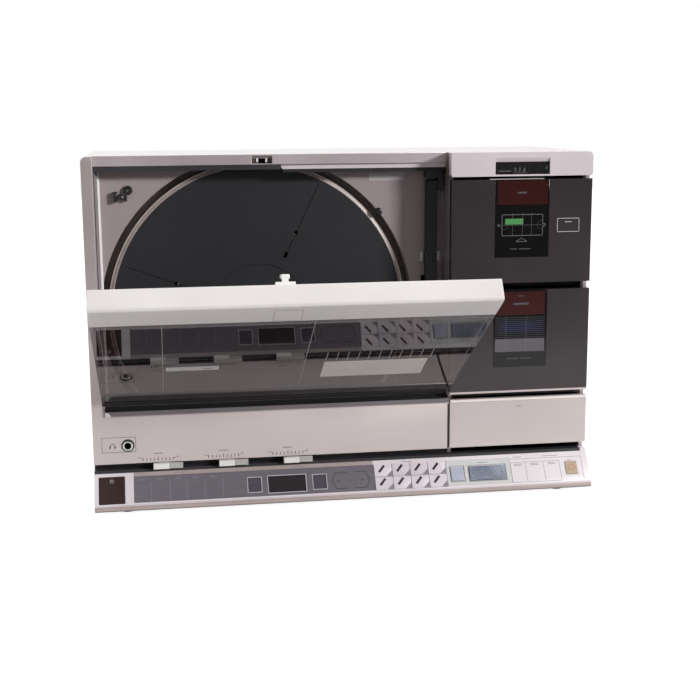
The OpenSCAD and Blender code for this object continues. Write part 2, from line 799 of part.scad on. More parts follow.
module motor_pulley() {
    flange = pulley_r + belt_t + 1.4;
    color("goldenrod") place() turned(pulley_x, pulley_z) polygon([[0, belt_y - 1.6], [flange, belt_y - 1.6],
        [flange, belt_y - 0.6], [pulley_r, belt_y - 0.6], [pulley_r, belt_y + belt_w + 0.6],
        [flange, belt_y + belt_w + 0.6], [flange, belt_y + belt_w + 1.6],
        [motor_shaft_r, belt_y + belt_w + 1.6], [motor_shaft_r, floor_y + sheet_t + 27],
        [0, floor_y + sheet_t + 27]]);
}

// Outline of a belt of inner radius r_big round the drive ring and r_small round the pulley
module belt_outline(r_big, r_small) {
    a = acos((r_big - r_small) / drive_span);
    circle(r_big);
    translate([drive_span, 0]) circle(r_small);
    polygon([[r_big * cos(a), r_big * sin(a)], [drive_span + r_small * cos(a), r_small * sin(a)],
        [drive_span + r_small * cos(a), -r_small * sin(a)], [r_big * cos(a), -r_big * sin(a)]]);
}

module drive_belt() {
    color("black") place() along_y(belt_y, belt_y + belt_w)
        translate([disc_x, disc_z]) rotate(drive_angle) difference() {
            belt_outline(ring_r + curve_gap + belt_t, pulley_r + curve_gap + belt_t);
            belt_outline(ring_r + curve_gap, pulley_r + curve_gap);
        }
}

// The guide rod on its bracket, and the two pegs that the arm rests between
module arm_rail() {
    bracket = 6;
    peg_z = disc_z + 54;
    peg_x = arm_w / 2 + 2.8;
    color("silver") place() {
        rod_x(rod_start, col_x, guide_y, guide_z, rod_r);
        difference() {
            slab(rod_start - bracket, rod_start + 2, strip_y + sheet_t + 2, deck_y + sheet_t,
                guide_z - 5, cab_h - wall);
            rod_x(rod_start - eps, rod_start + 3, guide_y, guide_z, rod_r);
        }
        for (x = [arm_x - peg_x, arm_x + peg_x]) slab(x - 2, x + 2, deck_y - 3, deck_y, peg_z - 5, peg_z + 5);
    }
}

module rail_cover() {
    x0 = disc_x + 22;
    drop = 5;
    color("silver") place() along_y(strip_y + sheet_t, strip_y + sheet_t + 1.5)
        polygon([[x0, cab_h - wall], [x0, strip_z], [x0 + drop / 2, strip_z - drop], [col_x, strip_z - drop],
            [col_x, cab_h - wall]]);
}

module arm_carriage() {
    left = arm_x - arm_w / 2 - 0.5;
    y0 = strip_y + sheet_t + 2;
    color("black") place() difference() {
        slab(left, left + carriage_w, y0, deck_y - 0.8, carriage_z, carriage_top);
        rod_x(left - 1, left + carriage_w + 1, guide_y, guide_z, rod_r + run_gap);
        slab(arm_x - arm_w / 2 - fit_gap - 1, arm_x + arm_w / 2 + fit_gap, y0 - 1, deck_y,
            carriage_z - 1, arm_pivot_z + 6);
        rod_x(left, left + carriage_w - 1.5, guide_y, arm_pivot_z, pin_r + run_gap);
    }
}

module tonearm() {
    foot = disc_z - 12;
    color("black") place() {
        difference() {
            union() {
                slab(arm_x - arm_w / 2, arm_x + arm_w / 2, arm_y, arm_y + arm_t, foot + 26, arm_pivot_z);
                rod_x(arm_x - arm_w / 2, arm_x + arm_w / 2, guide_y, arm_pivot_z, arm_t / 2);
                along_x(arm_x - arm_w / 2, arm_x + arm_w / 2) polygon([[arm_y, foot + 26 + eps],
                    [arm_y + arm_t, foot + 26 + eps], [arm_y + arm_t - 3, foot], [arm_y + 1, foot]]);
            }
            slab(arm_x - arm_w / 2 + 2, arm_x + arm_w / 2 - 2, arm_y + 3, arm_y + arm_t + 1,
                foot - 1, foot + 22);
        }
        rod_x(arm_x + arm_w / 2 - eps, arm_x + arm_w / 2 + 3, guide_y, arm_pivot_z, pin_r);
    }
}

module cartridge() {
    foot = disc_z - 12;
    tip = arm_y + 3;
    color("gray") place() {
        slab(arm_x - arm_w / 2 + 2.2, arm_x + arm_w / 2 - 2.2, tip, tip + 5, foot + 2, foot + 18);
        translate([arm_x, tip + 4.9, foot + 12]) rotate([-90, 0, 0]) cylinder(h = 2.6, r1 = 0.8, r2 = 0.3);
    }
}

// Catch

module latch_body() {
    y0 = strip_y + sheet_t;
    color("black") place() difference() {
        slab(latch_x - latch_w / 2 - 2, latch_x + latch_w / 2 + 2, y0, y0 + 13, strip_z - 1, cab_h - wall);
        slab(latch_x - latch_w / 2, latch_x + latch_w / 2, y0 - 1, y0 + 11.5, strip_z + 0.5, cab_h);
    }
}

module latch_jaws() {
    y0 = strip_y + sheet_t;
    inner = neck_w / 2 + fit_gap;
    z0 = strip_z + 0.8;
    z1 = cab_h - wall - 0.4;
    color("white") place() {
        for (s = [-1, 1])
            slab(latch_x + s * (inner + jaw_t / 2) - jaw_t / 2, latch_x + s * (inner + jaw_t / 2) + jaw_t / 2,
                y0 + 0.6, y0 + 3.4, z0, z1);
        for (s = [-1, 1])
            slab(latch_x + s * (latch_w / 2 - 2) - 1.4, latch_x + s * (latch_w / 2 - 2) + 1.4,
                y0 + 0.6, y0 + 8, z0, z1);
        for (s = [-1, 1])
            slab(latch_x + s * (inner + 3) - 3, latch_x + s * (inner + 3) + 3,
                y0 + 0.6, y0 + 2, z0, z0 + 1.2);
    }
}

// Lid, drawn closed

module lid_bar() {
    x0 = post_w + fit_gap;
    x1 = col_x - fit_gap;
    t = 3;
    z0 = lid_top - bar_h;
    color("whitesmoke") place() lid_pose() difference() {
        along_x(x0, x1) difference() {
            union() {
                translate([0, z0]) square([lid_depth, bar_h - 3]);
                translate([3, z0]) square([lid_depth - 3, bar_h]);
                translate([3, lid_top - 3]) circle(3);
            }
            translate([t, z0 - 1]) square([lid_depth - 2 * t, bar_h - t + 1]);
        }
    }
    color("whitesmoke") place() lid_pose()
        for (x = [x0, x1 - t]) slab(x, x + t, t - eps, lid_depth - t + eps, z0, lid_top - t + eps);
}

module lid_window() {
    x0 = post_w + fit_gap;
    x1 = col_x - fit_gap;
    z1 = lid_top - bar_h;
    z0 = hinge_z + 7.5;
    lap = 10;
    color("darkslategray", 0.5) place() lid_pose() {
        slab(x0, x1, 0.4, 0.4 + window_t, z0, z1);
        slab(x0 + 8, x1 - 8, window_t, window_t + 2, z1 - lap, z1 + lap);
        for (x = [x0, x1 - window_t])
            along_x(x, x + window_t) polygon([[0.4 + window_t - eps, z0], [lid_depth - 4, z0 + 20],
                [lid_depth, z0 + 40], [lid_depth, z1], [0.4 + window_t - eps, z1]]);
    }
}

module lid_hinge_rail() {
    ear = 3.5;
    x0 = post_w + fit_gap;
    x1 = col_x - fit_gap - ear - fit_gap;
    color("black") place() lid_pose() {
        rod_x(x0, x1, hinge_y, hinge_z, rail_r);
        slab(x0, x1, 0.6, 6.2, hinge_z, hinge_z + 7.5);
        rod_x(x0 - 4.6, x0 + eps, hinge_y, hinge_z, pin_r);
        rod_x(x1 - eps, x1 + ear + fit_gap / 2, hinge_y, hinge_z, pin_r);
    }
}

module lid_hook() {
    hook_z = cab_h - wall - 2.4;
    color("white") place() lid_pose() {
        slab(latch_x - 8.6, latch_x + 8.6, lid_depth, lid_depth + 3.5, hook_z - 2.2, hook_z + 3);
        slab(latch_x - neck_w / 2, latch_x + neck_w / 2, lid_depth + 3.4, lid_depth + 8.2,
            hook_z - 1.8, hook_z + 1.8);
        along_y(lid_depth + 8, lid_depth + 11) translate([latch_x, hook_z])
            round_rect(-4.2, 4.2, -2, 2, 1.9);
    }
}

// Inside and rear

module main_board() {
    y = rear_y - 22;
    left = 40;
    right = cab_w - 182;
    low = 24;
    high = 150;
    color("darkgreen") place() {
        slab(left, right, y, y + 1.6, low, high);
        for (x = [left + 10, right - 10], z = [low + 10, high - 10]) rod_y(x, z, y + 1.5, rear_y, 3);
        slab(left + 20, left + 110, y - 26, y + eps, high - 60, high - 10);
        for (i = [0:3]) rod_y(right - 140 + i * 30, low + 36, y - 24, y + eps, 9);
    }
}

module power_transformer() {
    right = cab_w - 42;
    color("gray") place() {
        slab(right - 80, right, rear_y - 62, rear_y - 12, wall, wall + 56);
        slab(right - 72, right - 8, rear_y - 70, rear_y - 4, wall + 12, wall + 44);
    }
}

module rear_sockets() {
    left = cab_w - 212;
    low = 84;
    rows = [low + 9, low + 25];
    gland_x = cab_w - 72;
    color("black") place() difference() {
        union() {
            slab(left, left + 170, cab_d, cab_d + 2, low, low + 34);
            for (i = [0:3], z = rows) rod_y(left + 15 + i * 18, z, cab_d, cab_d + 6, 4.15);
            slab(left + 96, left + 162, cab_d, cab_d + 5, low + 4, low + 30);
            rod_y(gland_x, 40, cab_d, cab_d + 4, 8);
        }
        for (i = [0:3], z = rows) rod_y(left + 15 + i * 18, z, cab_d + 2, cab_d + 7, 1.6);
        for (i = [0:3])
            slab(left + 100 + i * 15, left + 112 + i * 15, cab_d + 3.5, cab_d + 6, low + 8, low + 26);
        rod_y(gland_x, 40, cab_d + 2, cab_d + 5, 4);
    }
}

cabinet();
rear_cover();
feet();
front_frame();
front_chassis();
top_strip();
deck_plate();
control_base();
display_windows();
phones_jack();
tape_fascia();
counter_window();
column_chassis();
tape_mechanism();
arm_rail();
rail_cover();
latch_body();
platter_bearing();
drive_motor();
drive_belt();
main_board();
power_transformer();
rear_sockets();
platter();
platter_mat();
spindle();
motor_pulley();
arm_carriage();
tonearm();
cartridge();
lid_bar();
lid_window();
lid_hook();
lid_hinge_rail();
latch_jaws();
tape_door();
tape_window();
cassette_holder();
storage_bin();
storage_window();
flap();
counter_wheels();
counter_reset();
reel_hub(-1);  // supply_hub
reel_hub(1);  // takeup_hub
slider(slider_x[0]);  // bass_slider
slider(slider_x[1]);  // treble_slider
slider(slider_x[2]);  // balance_slider
power_button();
mute_button();
volume_rocker();
record_button();
for (i = [1:preset_count])
    preset_key(i);
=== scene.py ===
import json
from math import atan2, cos, pi, radians, sin, sqrt
import bpy
import bmesh
from mathutils import Matrix, Vector

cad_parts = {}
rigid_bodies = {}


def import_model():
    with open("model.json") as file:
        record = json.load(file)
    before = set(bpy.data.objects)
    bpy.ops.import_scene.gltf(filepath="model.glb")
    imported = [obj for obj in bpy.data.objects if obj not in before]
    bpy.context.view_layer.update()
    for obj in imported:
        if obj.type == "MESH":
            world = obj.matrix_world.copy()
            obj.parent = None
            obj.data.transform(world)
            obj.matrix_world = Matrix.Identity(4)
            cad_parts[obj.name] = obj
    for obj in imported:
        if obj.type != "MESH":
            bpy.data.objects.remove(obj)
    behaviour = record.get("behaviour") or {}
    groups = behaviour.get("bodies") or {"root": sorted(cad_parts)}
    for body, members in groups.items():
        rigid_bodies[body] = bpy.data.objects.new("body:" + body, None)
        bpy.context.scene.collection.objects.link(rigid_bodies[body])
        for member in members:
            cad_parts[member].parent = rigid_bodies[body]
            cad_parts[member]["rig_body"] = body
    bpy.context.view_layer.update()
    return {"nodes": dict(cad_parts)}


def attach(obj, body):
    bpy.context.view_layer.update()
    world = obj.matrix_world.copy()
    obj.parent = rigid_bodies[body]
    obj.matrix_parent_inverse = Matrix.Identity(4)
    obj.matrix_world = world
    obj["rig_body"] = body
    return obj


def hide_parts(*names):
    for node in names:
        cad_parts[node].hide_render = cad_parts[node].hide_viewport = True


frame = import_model()
nodes = frame["nodes"]

mm = 0.001

# Camera, from the vanishing lines and corners of the photographed front
shot = {"place": (-0.18776, -1.2355, 0.3939), "yaw": 8.82, "pitch": 10.76, "roll": 0.38,
        "lens": 64.46, "sensor": 36}


def placed(name, data):
    thing = bpy.data.objects.new(name, data)
    bpy.context.scene.collection.objects.link(thing)
    return thing


def aimCamera(shot):
    yaw, pitch, roll = (radians(shot[key]) for key in ("yaw", "pitch", "roll"))
    ahead = Vector((sin(yaw) * cos(pitch), cos(yaw) * cos(pitch), -sin(pitch)))
    right = Vector((cos(yaw), -sin(yaw), 0))
    up = Vector((sin(yaw) * sin(pitch), cos(yaw) * sin(pitch), cos(pitch)))
    turned = (right * cos(roll) - up * sin(roll),
              right * sin(roll) + up * cos(roll), -ahead)
    data = bpy.data.cameras.new("photoCamera")
    data.lens = shot["lens"]
    data.sensor_width = shot["sensor"]
    camera = placed("photoCamera", data)
    camera.matrix_world = Matrix.Translation(shot["place"]) @ Matrix(turned).transposed().to_4x4()
    bpy.context.scene.camera = camera


aimCamera(shot)
bpy.context.scene.view_settings.view_transform = "Standard"
print("camera set")


# Shared tools for materials and node trees
def linear(hexText):
    parts = [int(hexText[i:i + 2], 16) / 255 for i in (1, 3, 5)]
    return [c / 12.92 if c <= 0.04045 else ((c + 0.055) / 1.055) ** 2.4 for c in parts] + [1]


def addNode(tree, kind, inputs={}, **settings):
    node = tree.nodes.new(kind)
    for key, value in settings.items():
        setattr(node, key, value)
    for key, value in inputs.items():
        if isinstance(value, bpy.types.NodeSocket):
            tree.links.new(value, node.inputs[key])
        else:
            node.inputs[key].default_value = value
    return node


finishes = {}
noiseSpan = {"mixed": (0.75, 1.25), "wide": (0.3, 0.7)}  # where the noise's values mostly lie


# A finish with a fine grain and wide soft blotches, both sized in millimetres
def grainedFinish(name, base, shade, grain, rough, spread=0.04, relief=0.0,
                  stretch=(1, 1, 1), blotch=70, sockets={}):
    material = bpy.data.materials.new(name)
    material.use_nodes = True
    tree = material.node_tree
    shader = tree.nodes["Principled BSDF"]
    for key, value in sockets.items():
        shader.inputs[key].default_value = value
    place = addNode(tree, "ShaderNodeTexCoord").outputs["Object"]
    laid = addNode(tree, "ShaderNodeMapping", {"Vector": place, "Scale": stretch})
    fine = addNode(tree, "ShaderNodeTexNoise",
                   {"Vector": laid.outputs[0], "Scale": 1 / (grain * mm), "Detail": 2})
    wide = addNode(tree, "ShaderNodeTexNoise", {"Vector": place, "Scale": 1 / (blotch * mm), "Detail": 3})
    both = addNode(tree, "ShaderNodeMath", {0: fine.outputs[0], 1: wide.outputs[0]}, operation="ADD")
    low, high = noiseSpan["mixed"]
    share = addNode(tree, "ShaderNodeMapRange", {0: both.outputs[0], 1: low, 2: high})
    colour = addNode(tree, "ShaderNodeMix", {0: share.outputs[0], 6: linear(shade), 7: linear(base)},
                     data_type="RGBA")
    low, high = noiseSpan["wide"]
    gloss = addNode(tree, "ShaderNodeMapRange",
                    {0: wide.outputs[0], 1: low, 2: high, 3: rough - spread, 4: rough + spread})
    tree.links.new(colour.outputs[2], shader.inputs["Base Color"])
    tree.links.new(gloss.outputs[0], shader.inputs["Roughness"])
    if relief:
        bump = addNode(tree, "ShaderNodeBump",
                       {"Height": fine.outputs[0], "Strength": 0.5, "Distance": relief * mm})
        tree.links.new(bump.outputs[0], shader.inputs["Normal"])
    finishes[name] = material


# satin metallic lacquer on ABS: fine aluminium flake, a broad soft sheen that follows the light
grainedFinish("champagneLacquer", "#c8bdbc", "#bfb4b3", 1.1, 0.42, relief=0.01,
              sockets={"Metallic": 0.5, "Coat Weight": 0.1, "Coat Roughness": 0.4})
# the same lacquer over sheet steel, a tone darker
grainedFinish("sleeveLacquer", "#b0a5a6", "#a59a9c", 1.1, 0.44, relief=0.01,
              sockets={"Metallic": 0.65, "Coat Weight": 0.6, "Coat Roughness": 0.15})
# pale satin lacquer: near white with a faint pink, less flake; also the painted highlight on the lip's top
grainedFinish("paleLacquerAndHighlight", "#dcd1d6", "#d4c9ce", 0.9, 0.4, relief=0.008,
              sockets={"Metallic": 0.12, "Coat Weight": 0.1, "Coat Roughness": 0.35})
grainedFinish("panelLacquer", "#e5dee2", "#ddd6da", 0.9, 0.4, relief=0.008,
              sockets={"Metallic": 0.1, "Coat Weight": 0.1, "Coat Roughness": 0.35})
# the strip over the bay: more flake, brighter towards the lamp
grainedFinish("stripLacquer", "#d2c6c9", "#c9bdc0", 1.1, 0.46, relief=0.01, sockets={"Metallic": 0.75})
# warm white satin lacquer of the lid's bar
grainedFinish("warmWhiteLacquer", "#ebe6e4", "#e3dedc", 0.9, 0.42, relief=0.008,
              sockets={"Metallic": 0.1, "Coat Weight": 0.1, "Coat Roughness": 0.35})
# warm dark grey metallic lacquer of the doors: mirrors the pale floor low down
grainedFinish("bronzeLacquer", "#2a2023", "#241b1e", 1.0, 0.42, relief=0.01,
              sockets={"Metallic": 0.3, "Coat Weight": 0.48, "Coat Roughness": 0.15})
# dull olive brown on the column's inner cheek
grainedFinish("oliveLacquer", "#6f675c", "#655d53", 1.0, 0.5, relief=0.01, sockets={"Metallic": 0.2})
# painted shade: a darker lacquer over the slanted bay wall and the lower half of the bevel under the lid's
# hinge
grainedFinish("shadedWallLacquer", "#857d81", "#7a7276", 1.2, 0.5, relief=0.02)
# the post's lacquer: a tone deeper than the panel's, painted shade on the post
grainedFinish("postShadeLacquer", "#bfb4b3", "#b6abaa", 1.1, 0.42, relief=0.01, sockets={"Metallic": 0.5})
# painted shade: a deep umber in the gap beside the post and under the lip
grainedFinish("umberShadeLacquer", "#695e60", "#5f5456", 1.0, 0.42, relief=0.01, sockets={"Metallic": 0.3})
# moulded warm grey ABS, spark-eroded grain of the deck
grainedFinish("warmGreyAbs", "#9b8f8f", "#928686", 1.4, 0.55, relief=0.03)
# moulded black ABS: soft grain that keeps it from going flat. The two also serve as painted shade: on the
# panel's bevel, in the gap outside the platter's rim, and under the top strip
grainedFinish("channelAbsAndShade", "#343236", "#2b292d", 1.2, 0.45, relief=0.02)
grainedFinish("blackAbsAndShade", "#1d1b1b", "#141313", 1.2, 0.5, relief=0.03)
# white acetal: clean, a little waxy; also a painted highlight at the left end of the panel's bevel
grainedFinish("whiteAcetalAndHighlight", "#ecebe8", "#e2e0dc", 2.0, 0.4, relief=0.01,
              sockets={"Subsurface Weight": 0.05, "Subsurface Scale": 0.001})
grainedFinish("umberAcetal", "#4a423d", "#3f3833", 1.6, 0.4, relief=0.01)
grainedFinish("smokeAcetal", "#a9a6a2", "#9d9a96", 1.6, 0.45, relief=0.01)
# pale keys: fine satin ABS with a cool tint
grainedFinish("keyAbs", "#dcd3da", "#d3cad2", 1.1, 0.42, relief=0.01)
grainedFinish("brownAbs", "#37251f", "#2e1e19", 1.0, 0.38, relief=0.02)
grainedFinish("blueGreyAbs", "#a2a6b4", "#6f7686", 1.2, 0.34, relief=0.01, blotch=26)
grainedFinish("paleBlueAbs", "#b1b4c5", "#a8abbc", 1.2, 0.36, relief=0.01)
grainedFinish("beigeAbs", "#b7a48f", "#a9957f", 1.0, 0.45, relief=0.02)
# printed polycarbonate film: even grey with a soft horizontal brush
grainedFinish("greyFilm", "#7f7a82", "#736e76", 0.7, 0.38, stretch=(0.06, 1, 1), blotch=90,
              sockets={"Metallic": 0.3})
grainedFinish("paleFilm", "#cdcdcc", "#c4c5c3", 0.7, 0.4, stretch=(0.06, 1, 1))
# dark tinted acrylic of the panes: deep and glossy
grainedFinish("tintedLens", "#0e0d0f", "#09080a", 3.0, 0.1, spread=0.03,
              sockets={"IOR": 1.49, "Specular IOR Level": 0.35})
# rubber mat: soft charcoal, dull, with a cool tone
grainedFinish("matRubber", "#141319", "#0f0e14", 1.6, 0.62, relief=0.04)
# black rubber, also the dark face of the seal under the rail cover, painted shade
grainedFinish("blackRubberAndShade", "#1a1919", "#121111", 1.5, 0.75, relief=0.05)
# die-cast aluminium turned on a lathe
grainedFinish("turnedAluminium", "#b9b7b0", "#a6a49d", 0.8, 0.32, relief=0.01, sockets={"Metallic": 1.0})
# the same casting lacquered pale at the platter's rim
grainedFinish("rimLacquer", "#c6bab5", "#b9ada8", 0.8, 0.5, relief=0.01, sockets={"Metallic": 0.4})
# ground and plated steel
grainedFinish("platedSteel", "#c9c8c6", "#b4b3b1", 0.8, 0.24, relief=0.005, stretch=(0.1, 1, 1),
              sockets={"Metallic": 1.0})
grainedFinish("turnedBrass", "#c8a35a", "#b58f48", 0.8, 0.3, sockets={"Metallic": 1.0})
# green solder mask over glass cloth
grainedFinish("boardLaminate", "#2f5a3a", "#254a2f", 2.5, 0.45, relief=0.03)
# varnished iron laminations
grainedFinish("coreSteel", "#6b6660", "#4c4843", 0.9, 0.45, relief=0.08, stretch=(1, 0.03, 0.03),
              sockets={"Metallic": 0.8})
# pressed hardboard: brown fibre, dull
grainedFinish("hardboard", "#4a3c31", "#382c23", 1.8, 0.7, relief=0.06, stretch=(1, 1, 0.5))
# screen inks
grainedFinish("darkInk", "#423c3d", "#373233", 0.6, 0.6)
grainedFinish("paleInk", "#c9c5c8", "#bdb9bc", 0.6, 0.55)
grainedFinish("redInk", "#37100e", "#2f0c0a", 1.0, 0.3, sockets={"Specular IOR Level": 0.25})
grainedFinish("greenInk", "#4d9153", "#448548", 0.8, 0.4)
# painted reflection: the blue gleam on the storage door's window
grainedFinish("paintedNavyGleam", "#13152a", "#101223", 0.8, 0.35, sockets={"Specular IOR Level": 0.2})
grainedFinish("paintedBlueGleam", "#171b3a", "#131732", 0.8, 0.35, sockets={"Specular IOR Level": 0.2})
grainedFinish("ashInk", "#6f6a70", "#656066", 0.8, 0.4)
grainedFinish("orangeInk", "#c98a5c", "#bd7d50", 0.6, 0.5)
# white ink, and painted highlights along the bay's left edges
grainedFinish("whiteInkAndHighlight", "#dedbdb", "#d4d1d1", 0.6, 0.5)
grainedFinish("lineInk", "#b4aeb0", "#aaa4a6", 0.6, 0.5)
grainedFinish("softInk", "#8f878a", "#857d80", 0.6, 0.55)
grainedFinish("duskInk", "#59545a", "#504b51", 0.6, 0.45)
grainedFinish("dimInk", "#4b484d", "#424045", 0.6, 0.45)
grainedFinish("deepInk", "#09090f", "#07070c", 0.8, 0.3, sockets={"Specular IOR Level": 0.2})
grainedFinish("blackInk", "#0b0a0a", "#080707", 1.0, 0.4)
grainedFinish("filmLine", "#9a949c", "#8f8991", 0.6, 0.45)
# display glass: smoky lilac grey on the small squares, brown black in the middle
grainedFinish("slateFilm", "#57525c", "#4c4751", 4.0, 0.2, spread=0.05)
grainedFinish("umberFilm", "#322d30", "#2b2629", 4.0, 0.15, spread=0.05)
grainedFinish("lampLens", "#4d3d40", "#413236", 0.8, 0.2)
grainedFinish("paleGrip", "#c3c0bf", "#b9b6b5", 1.0, 0.45)
grainedFinish("cornerInk", "#958d94", "#8b838a", 0.6, 0.5)
grainedFinish("lipLacquer", "#b9aba8", "#ab9d9a", 1.0, 0.42, relief=0.01, sockets={"Metallic": 0.3})
# numerals behind the counter's pane, with a faint glow that is painted light in place of the light through
# the pane
grainedFinish("counterInkPaintedGlow", "#d9dade", "#cfd0d5", 0.6, 0.5,
              sockets={"Emission Color": (0.8, 0.82, 0.9, 1), "Emission Strength": 0.8})
grainedFinish("signalRed", "#a63a34", "#97322d", 1.0, 0.4, relief=0.01)
# cream card, and a painted highlight along the flap's upper edge
grainedFinish("creamCardAndHighlight", "#f4ebe6", "#eae1dc", 1.2, 0.7)

# Clear smoked acrylic: a dark sheet that mirrors what lies in front of it
clearGlass = {"IOR": 1.49, "Transmission Weight": 1.0}
grainedFinish("smokedAcrylic", "#82797c", "#7b7275", 40, 0.02, spread=0.01, sockets=clearGlass)
grainedFinish("smokedPane", "#8d8b8e", "#858386", 40, 0.03, spread=0.01,
              sockets={**clearGlass, "Specular IOR Level": 0.25})
print("finishes made:", len(finishes))


# Every CAD node gets its finish, and a softened copy where an edge radius in mm is given
skins = {
    "cabinet": ("sleeveLacquer", 0.6), "rear_cover": ("hardboard", 0.3), "feet": ("blackRubberAndShade", 0.8),
    "front_frame": ("champagneLacquer", 0.5), "front_chassis": ("blackAbsAndShade", 0.3),
    "top_strip": ("stripLacquer", 0.4), "deck_plate": ("warmGreyAbs", 0.5),
    "control_base": ("panelLacquer", 0.25), "display_windows": ("tintedLens", 0.1),
    "phones_jack": ("blackAbsAndShade", 0.4), "tape_fascia": ("paleLacquerAndHighlight", 0.5),
    "counter_window": ("smokedPane", 0.15), "column_chassis": ("blackAbsAndShade", 0.3),
    "tape_mechanism": ("platedSteel", 0.3), "arm_rail": ("platedSteel", 0.2),
    "rail_cover": ("paleLacquerAndHighlight", 0.2), "latch_body": ("blackAbsAndShade", 0.3),
    "platter_bearing": ("turnedBrass", 0.3), "drive_motor": ("platedSteel", 0.4),
    "drive_belt": ("blackRubberAndShade", 0), "main_board": ("boardLaminate", 0),
    "power_transformer": ("coreSteel", 0.5), "rear_sockets": ("blackAbsAndShade", 0.25),
    "platter": ("turnedAluminium", 0.4), "platter_mat": ("matRubber", 0), "spindle": ("platedSteel", 0.2),
    "motor_pulley": ("turnedBrass", 0.2), "arm_carriage": ("blackAbsAndShade", 0.4), "tonearm": ("blackAbsAndShade", 0.5),
    "cartridge": ("warmGreyAbs", 0.2), "lid_bar": ("warmWhiteLacquer", 0.6),
    "lid_window": ("smokedAcrylic", 0.25), "lid_hook": ("whiteAcetalAndHighlight", 0.5),
    "lid_hinge_rail": ("blackAbsAndShade", 0.3), "latch_jaws": ("umberAcetal", 0.25),
    "tape_door": ("bronzeLacquer", 0.4), "tape_window": ("tintedLens", 0.15),
    "cassette_holder": ("blackAbsAndShade", 0.3), "storage_bin": ("bronzeLacquer", 0.4),
    "storage_window": ("tintedLens", 0.15), "flap": ("champagneLacquer", 0.5),
    "counter_wheels": ("blackAbsAndShade", 0.15), "counter_reset": ("blackAbsAndShade", 0.3),
    "supply_hub": ("whiteAcetalAndHighlight", 0.2), "takeup_hub": ("whiteAcetalAndHighlight", 0.2),
    "bass_slider": ("whiteAcetalAndHighlight", 0.4), "treble_slider": ("whiteAcetalAndHighlight", 0.4),
    "balance_slider": ("whiteAcetalAndHighlight", 0.4), "power_button": ("brownAbs", 0.4),
    "mute_button": ("paleBlueAbs", 0.4), "volume_rocker": ("blueGreyAbs", 0.5),
    "record_button": ("beigeAbs", 0.4), **{f"preset_{i}": ("keyAbs", 0.3) for i in range(1, 9)},
}
softEdge = {"weld": 1e-6, "flat": 0.6, "segments": 2, "bevelFrom": 38, "sharpFrom": 20}  # angles in degrees


def bakedMesh(thing, name):
    bpy.context.view_layer.update()
    graph = bpy.context.evaluated_depsgraph_get()
    mesh = bpy.data.meshes.new_from_object(thing.evaluated_get(graph), depsgraph=graph)
    mesh.name = name
    return mesh


def softened(name, finish, radius):
    mesh = nodes[name].data.copy()
    shape = bmesh.new()
    shape.from_mesh(mesh)
    bmesh.ops.remove_doubles(shape, verts=shape.verts, dist=softEdge["weld"])
    bmesh.ops.dissolve_limit(shape, angle_limit=radians(softEdge["flat"]),
                             verts=shape.verts, edges=shape.edges)
    shape.to_mesh(mesh)
    shape.free()
    piece = placed(name + ".soft", mesh)
    edge = piece.modifiers.new("edge", "BEVEL")
    edge.width = radius * mm
    edge.segments = softEdge["segments"]
    edge.limit_method = "ANGLE"
    edge.angle_limit = radians(softEdge["bevelFrom"])
    piece.data = bakedMesh(piece, name + ".soft")
    piece.modifiers.clear()
    for extra in ("custom_normal", "sharp_face", "sharp_edge"):
        if extra in piece.data.attributes:
            piece.data.attributes.remove(piece.data.attributes[extra])
    piece.data.shade_smooth()
    piece.data.set_sharp_from_angle(angle=radians(softEdge["sharpFrom"]))
    piece.data.materials.clear()
    piece.data.materials.append(finish)
    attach(piece, nodes[name]["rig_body"])
    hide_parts(name)


for name, (finish, radius) in skins.items():
    if radius:
        softened(name, finishes[finish], radius)
    else:
        nodes[name].data.materials.clear()
        nodes[name].data.materials.append(finishes[finish])
print("nodes dressed:", len(skins))


# Flat frames on the object's faces: u to the right, v up, w out of the face, all in millimetres
def faceFrame(origin, right, up):
    right, up = Vector(right), Vector(up)
    turn = Matrix((right, up, right.cross(up))).transposed().to_4x4()
    return Matrix.Translation(Vector(origin) * mm) @ turn @ Matrix.Scale(mm, 4)


cabinet = {"width": 512, "depth": 198, "foot": 5}
halfWidth = cabinet["width"] / 2


def frontFace(y):
    return faceFrame((-halfWidth, y, cabinet["foot"]), (1, 0, 0), (0, 0, 1))


lidHinge = {"y": 4, "z": 111.5, "open": 58.3}
lidSpot = Vector((0, lidHinge["y"], lidHinge["z"])) * mm
lidTurn = (Matrix.Translation(lidSpot) @ Matrix.Rotation(radians(lidHinge["open"]), 4, "X")
           @ Matrix.Translation(-lidSpot))

panelSlope = {"run": 21.5, "rise": 29, "foot": 12.5}
slopeTilt = atan2(panelSlope["run"], panelSlope["rise"])
slopeFace = faceFrame((-halfWidth, -panelSlope["run"], panelSlope["foot"]),
                      (1, 0, 0), (0, sin(slopeTilt), cos(slopeTilt)))


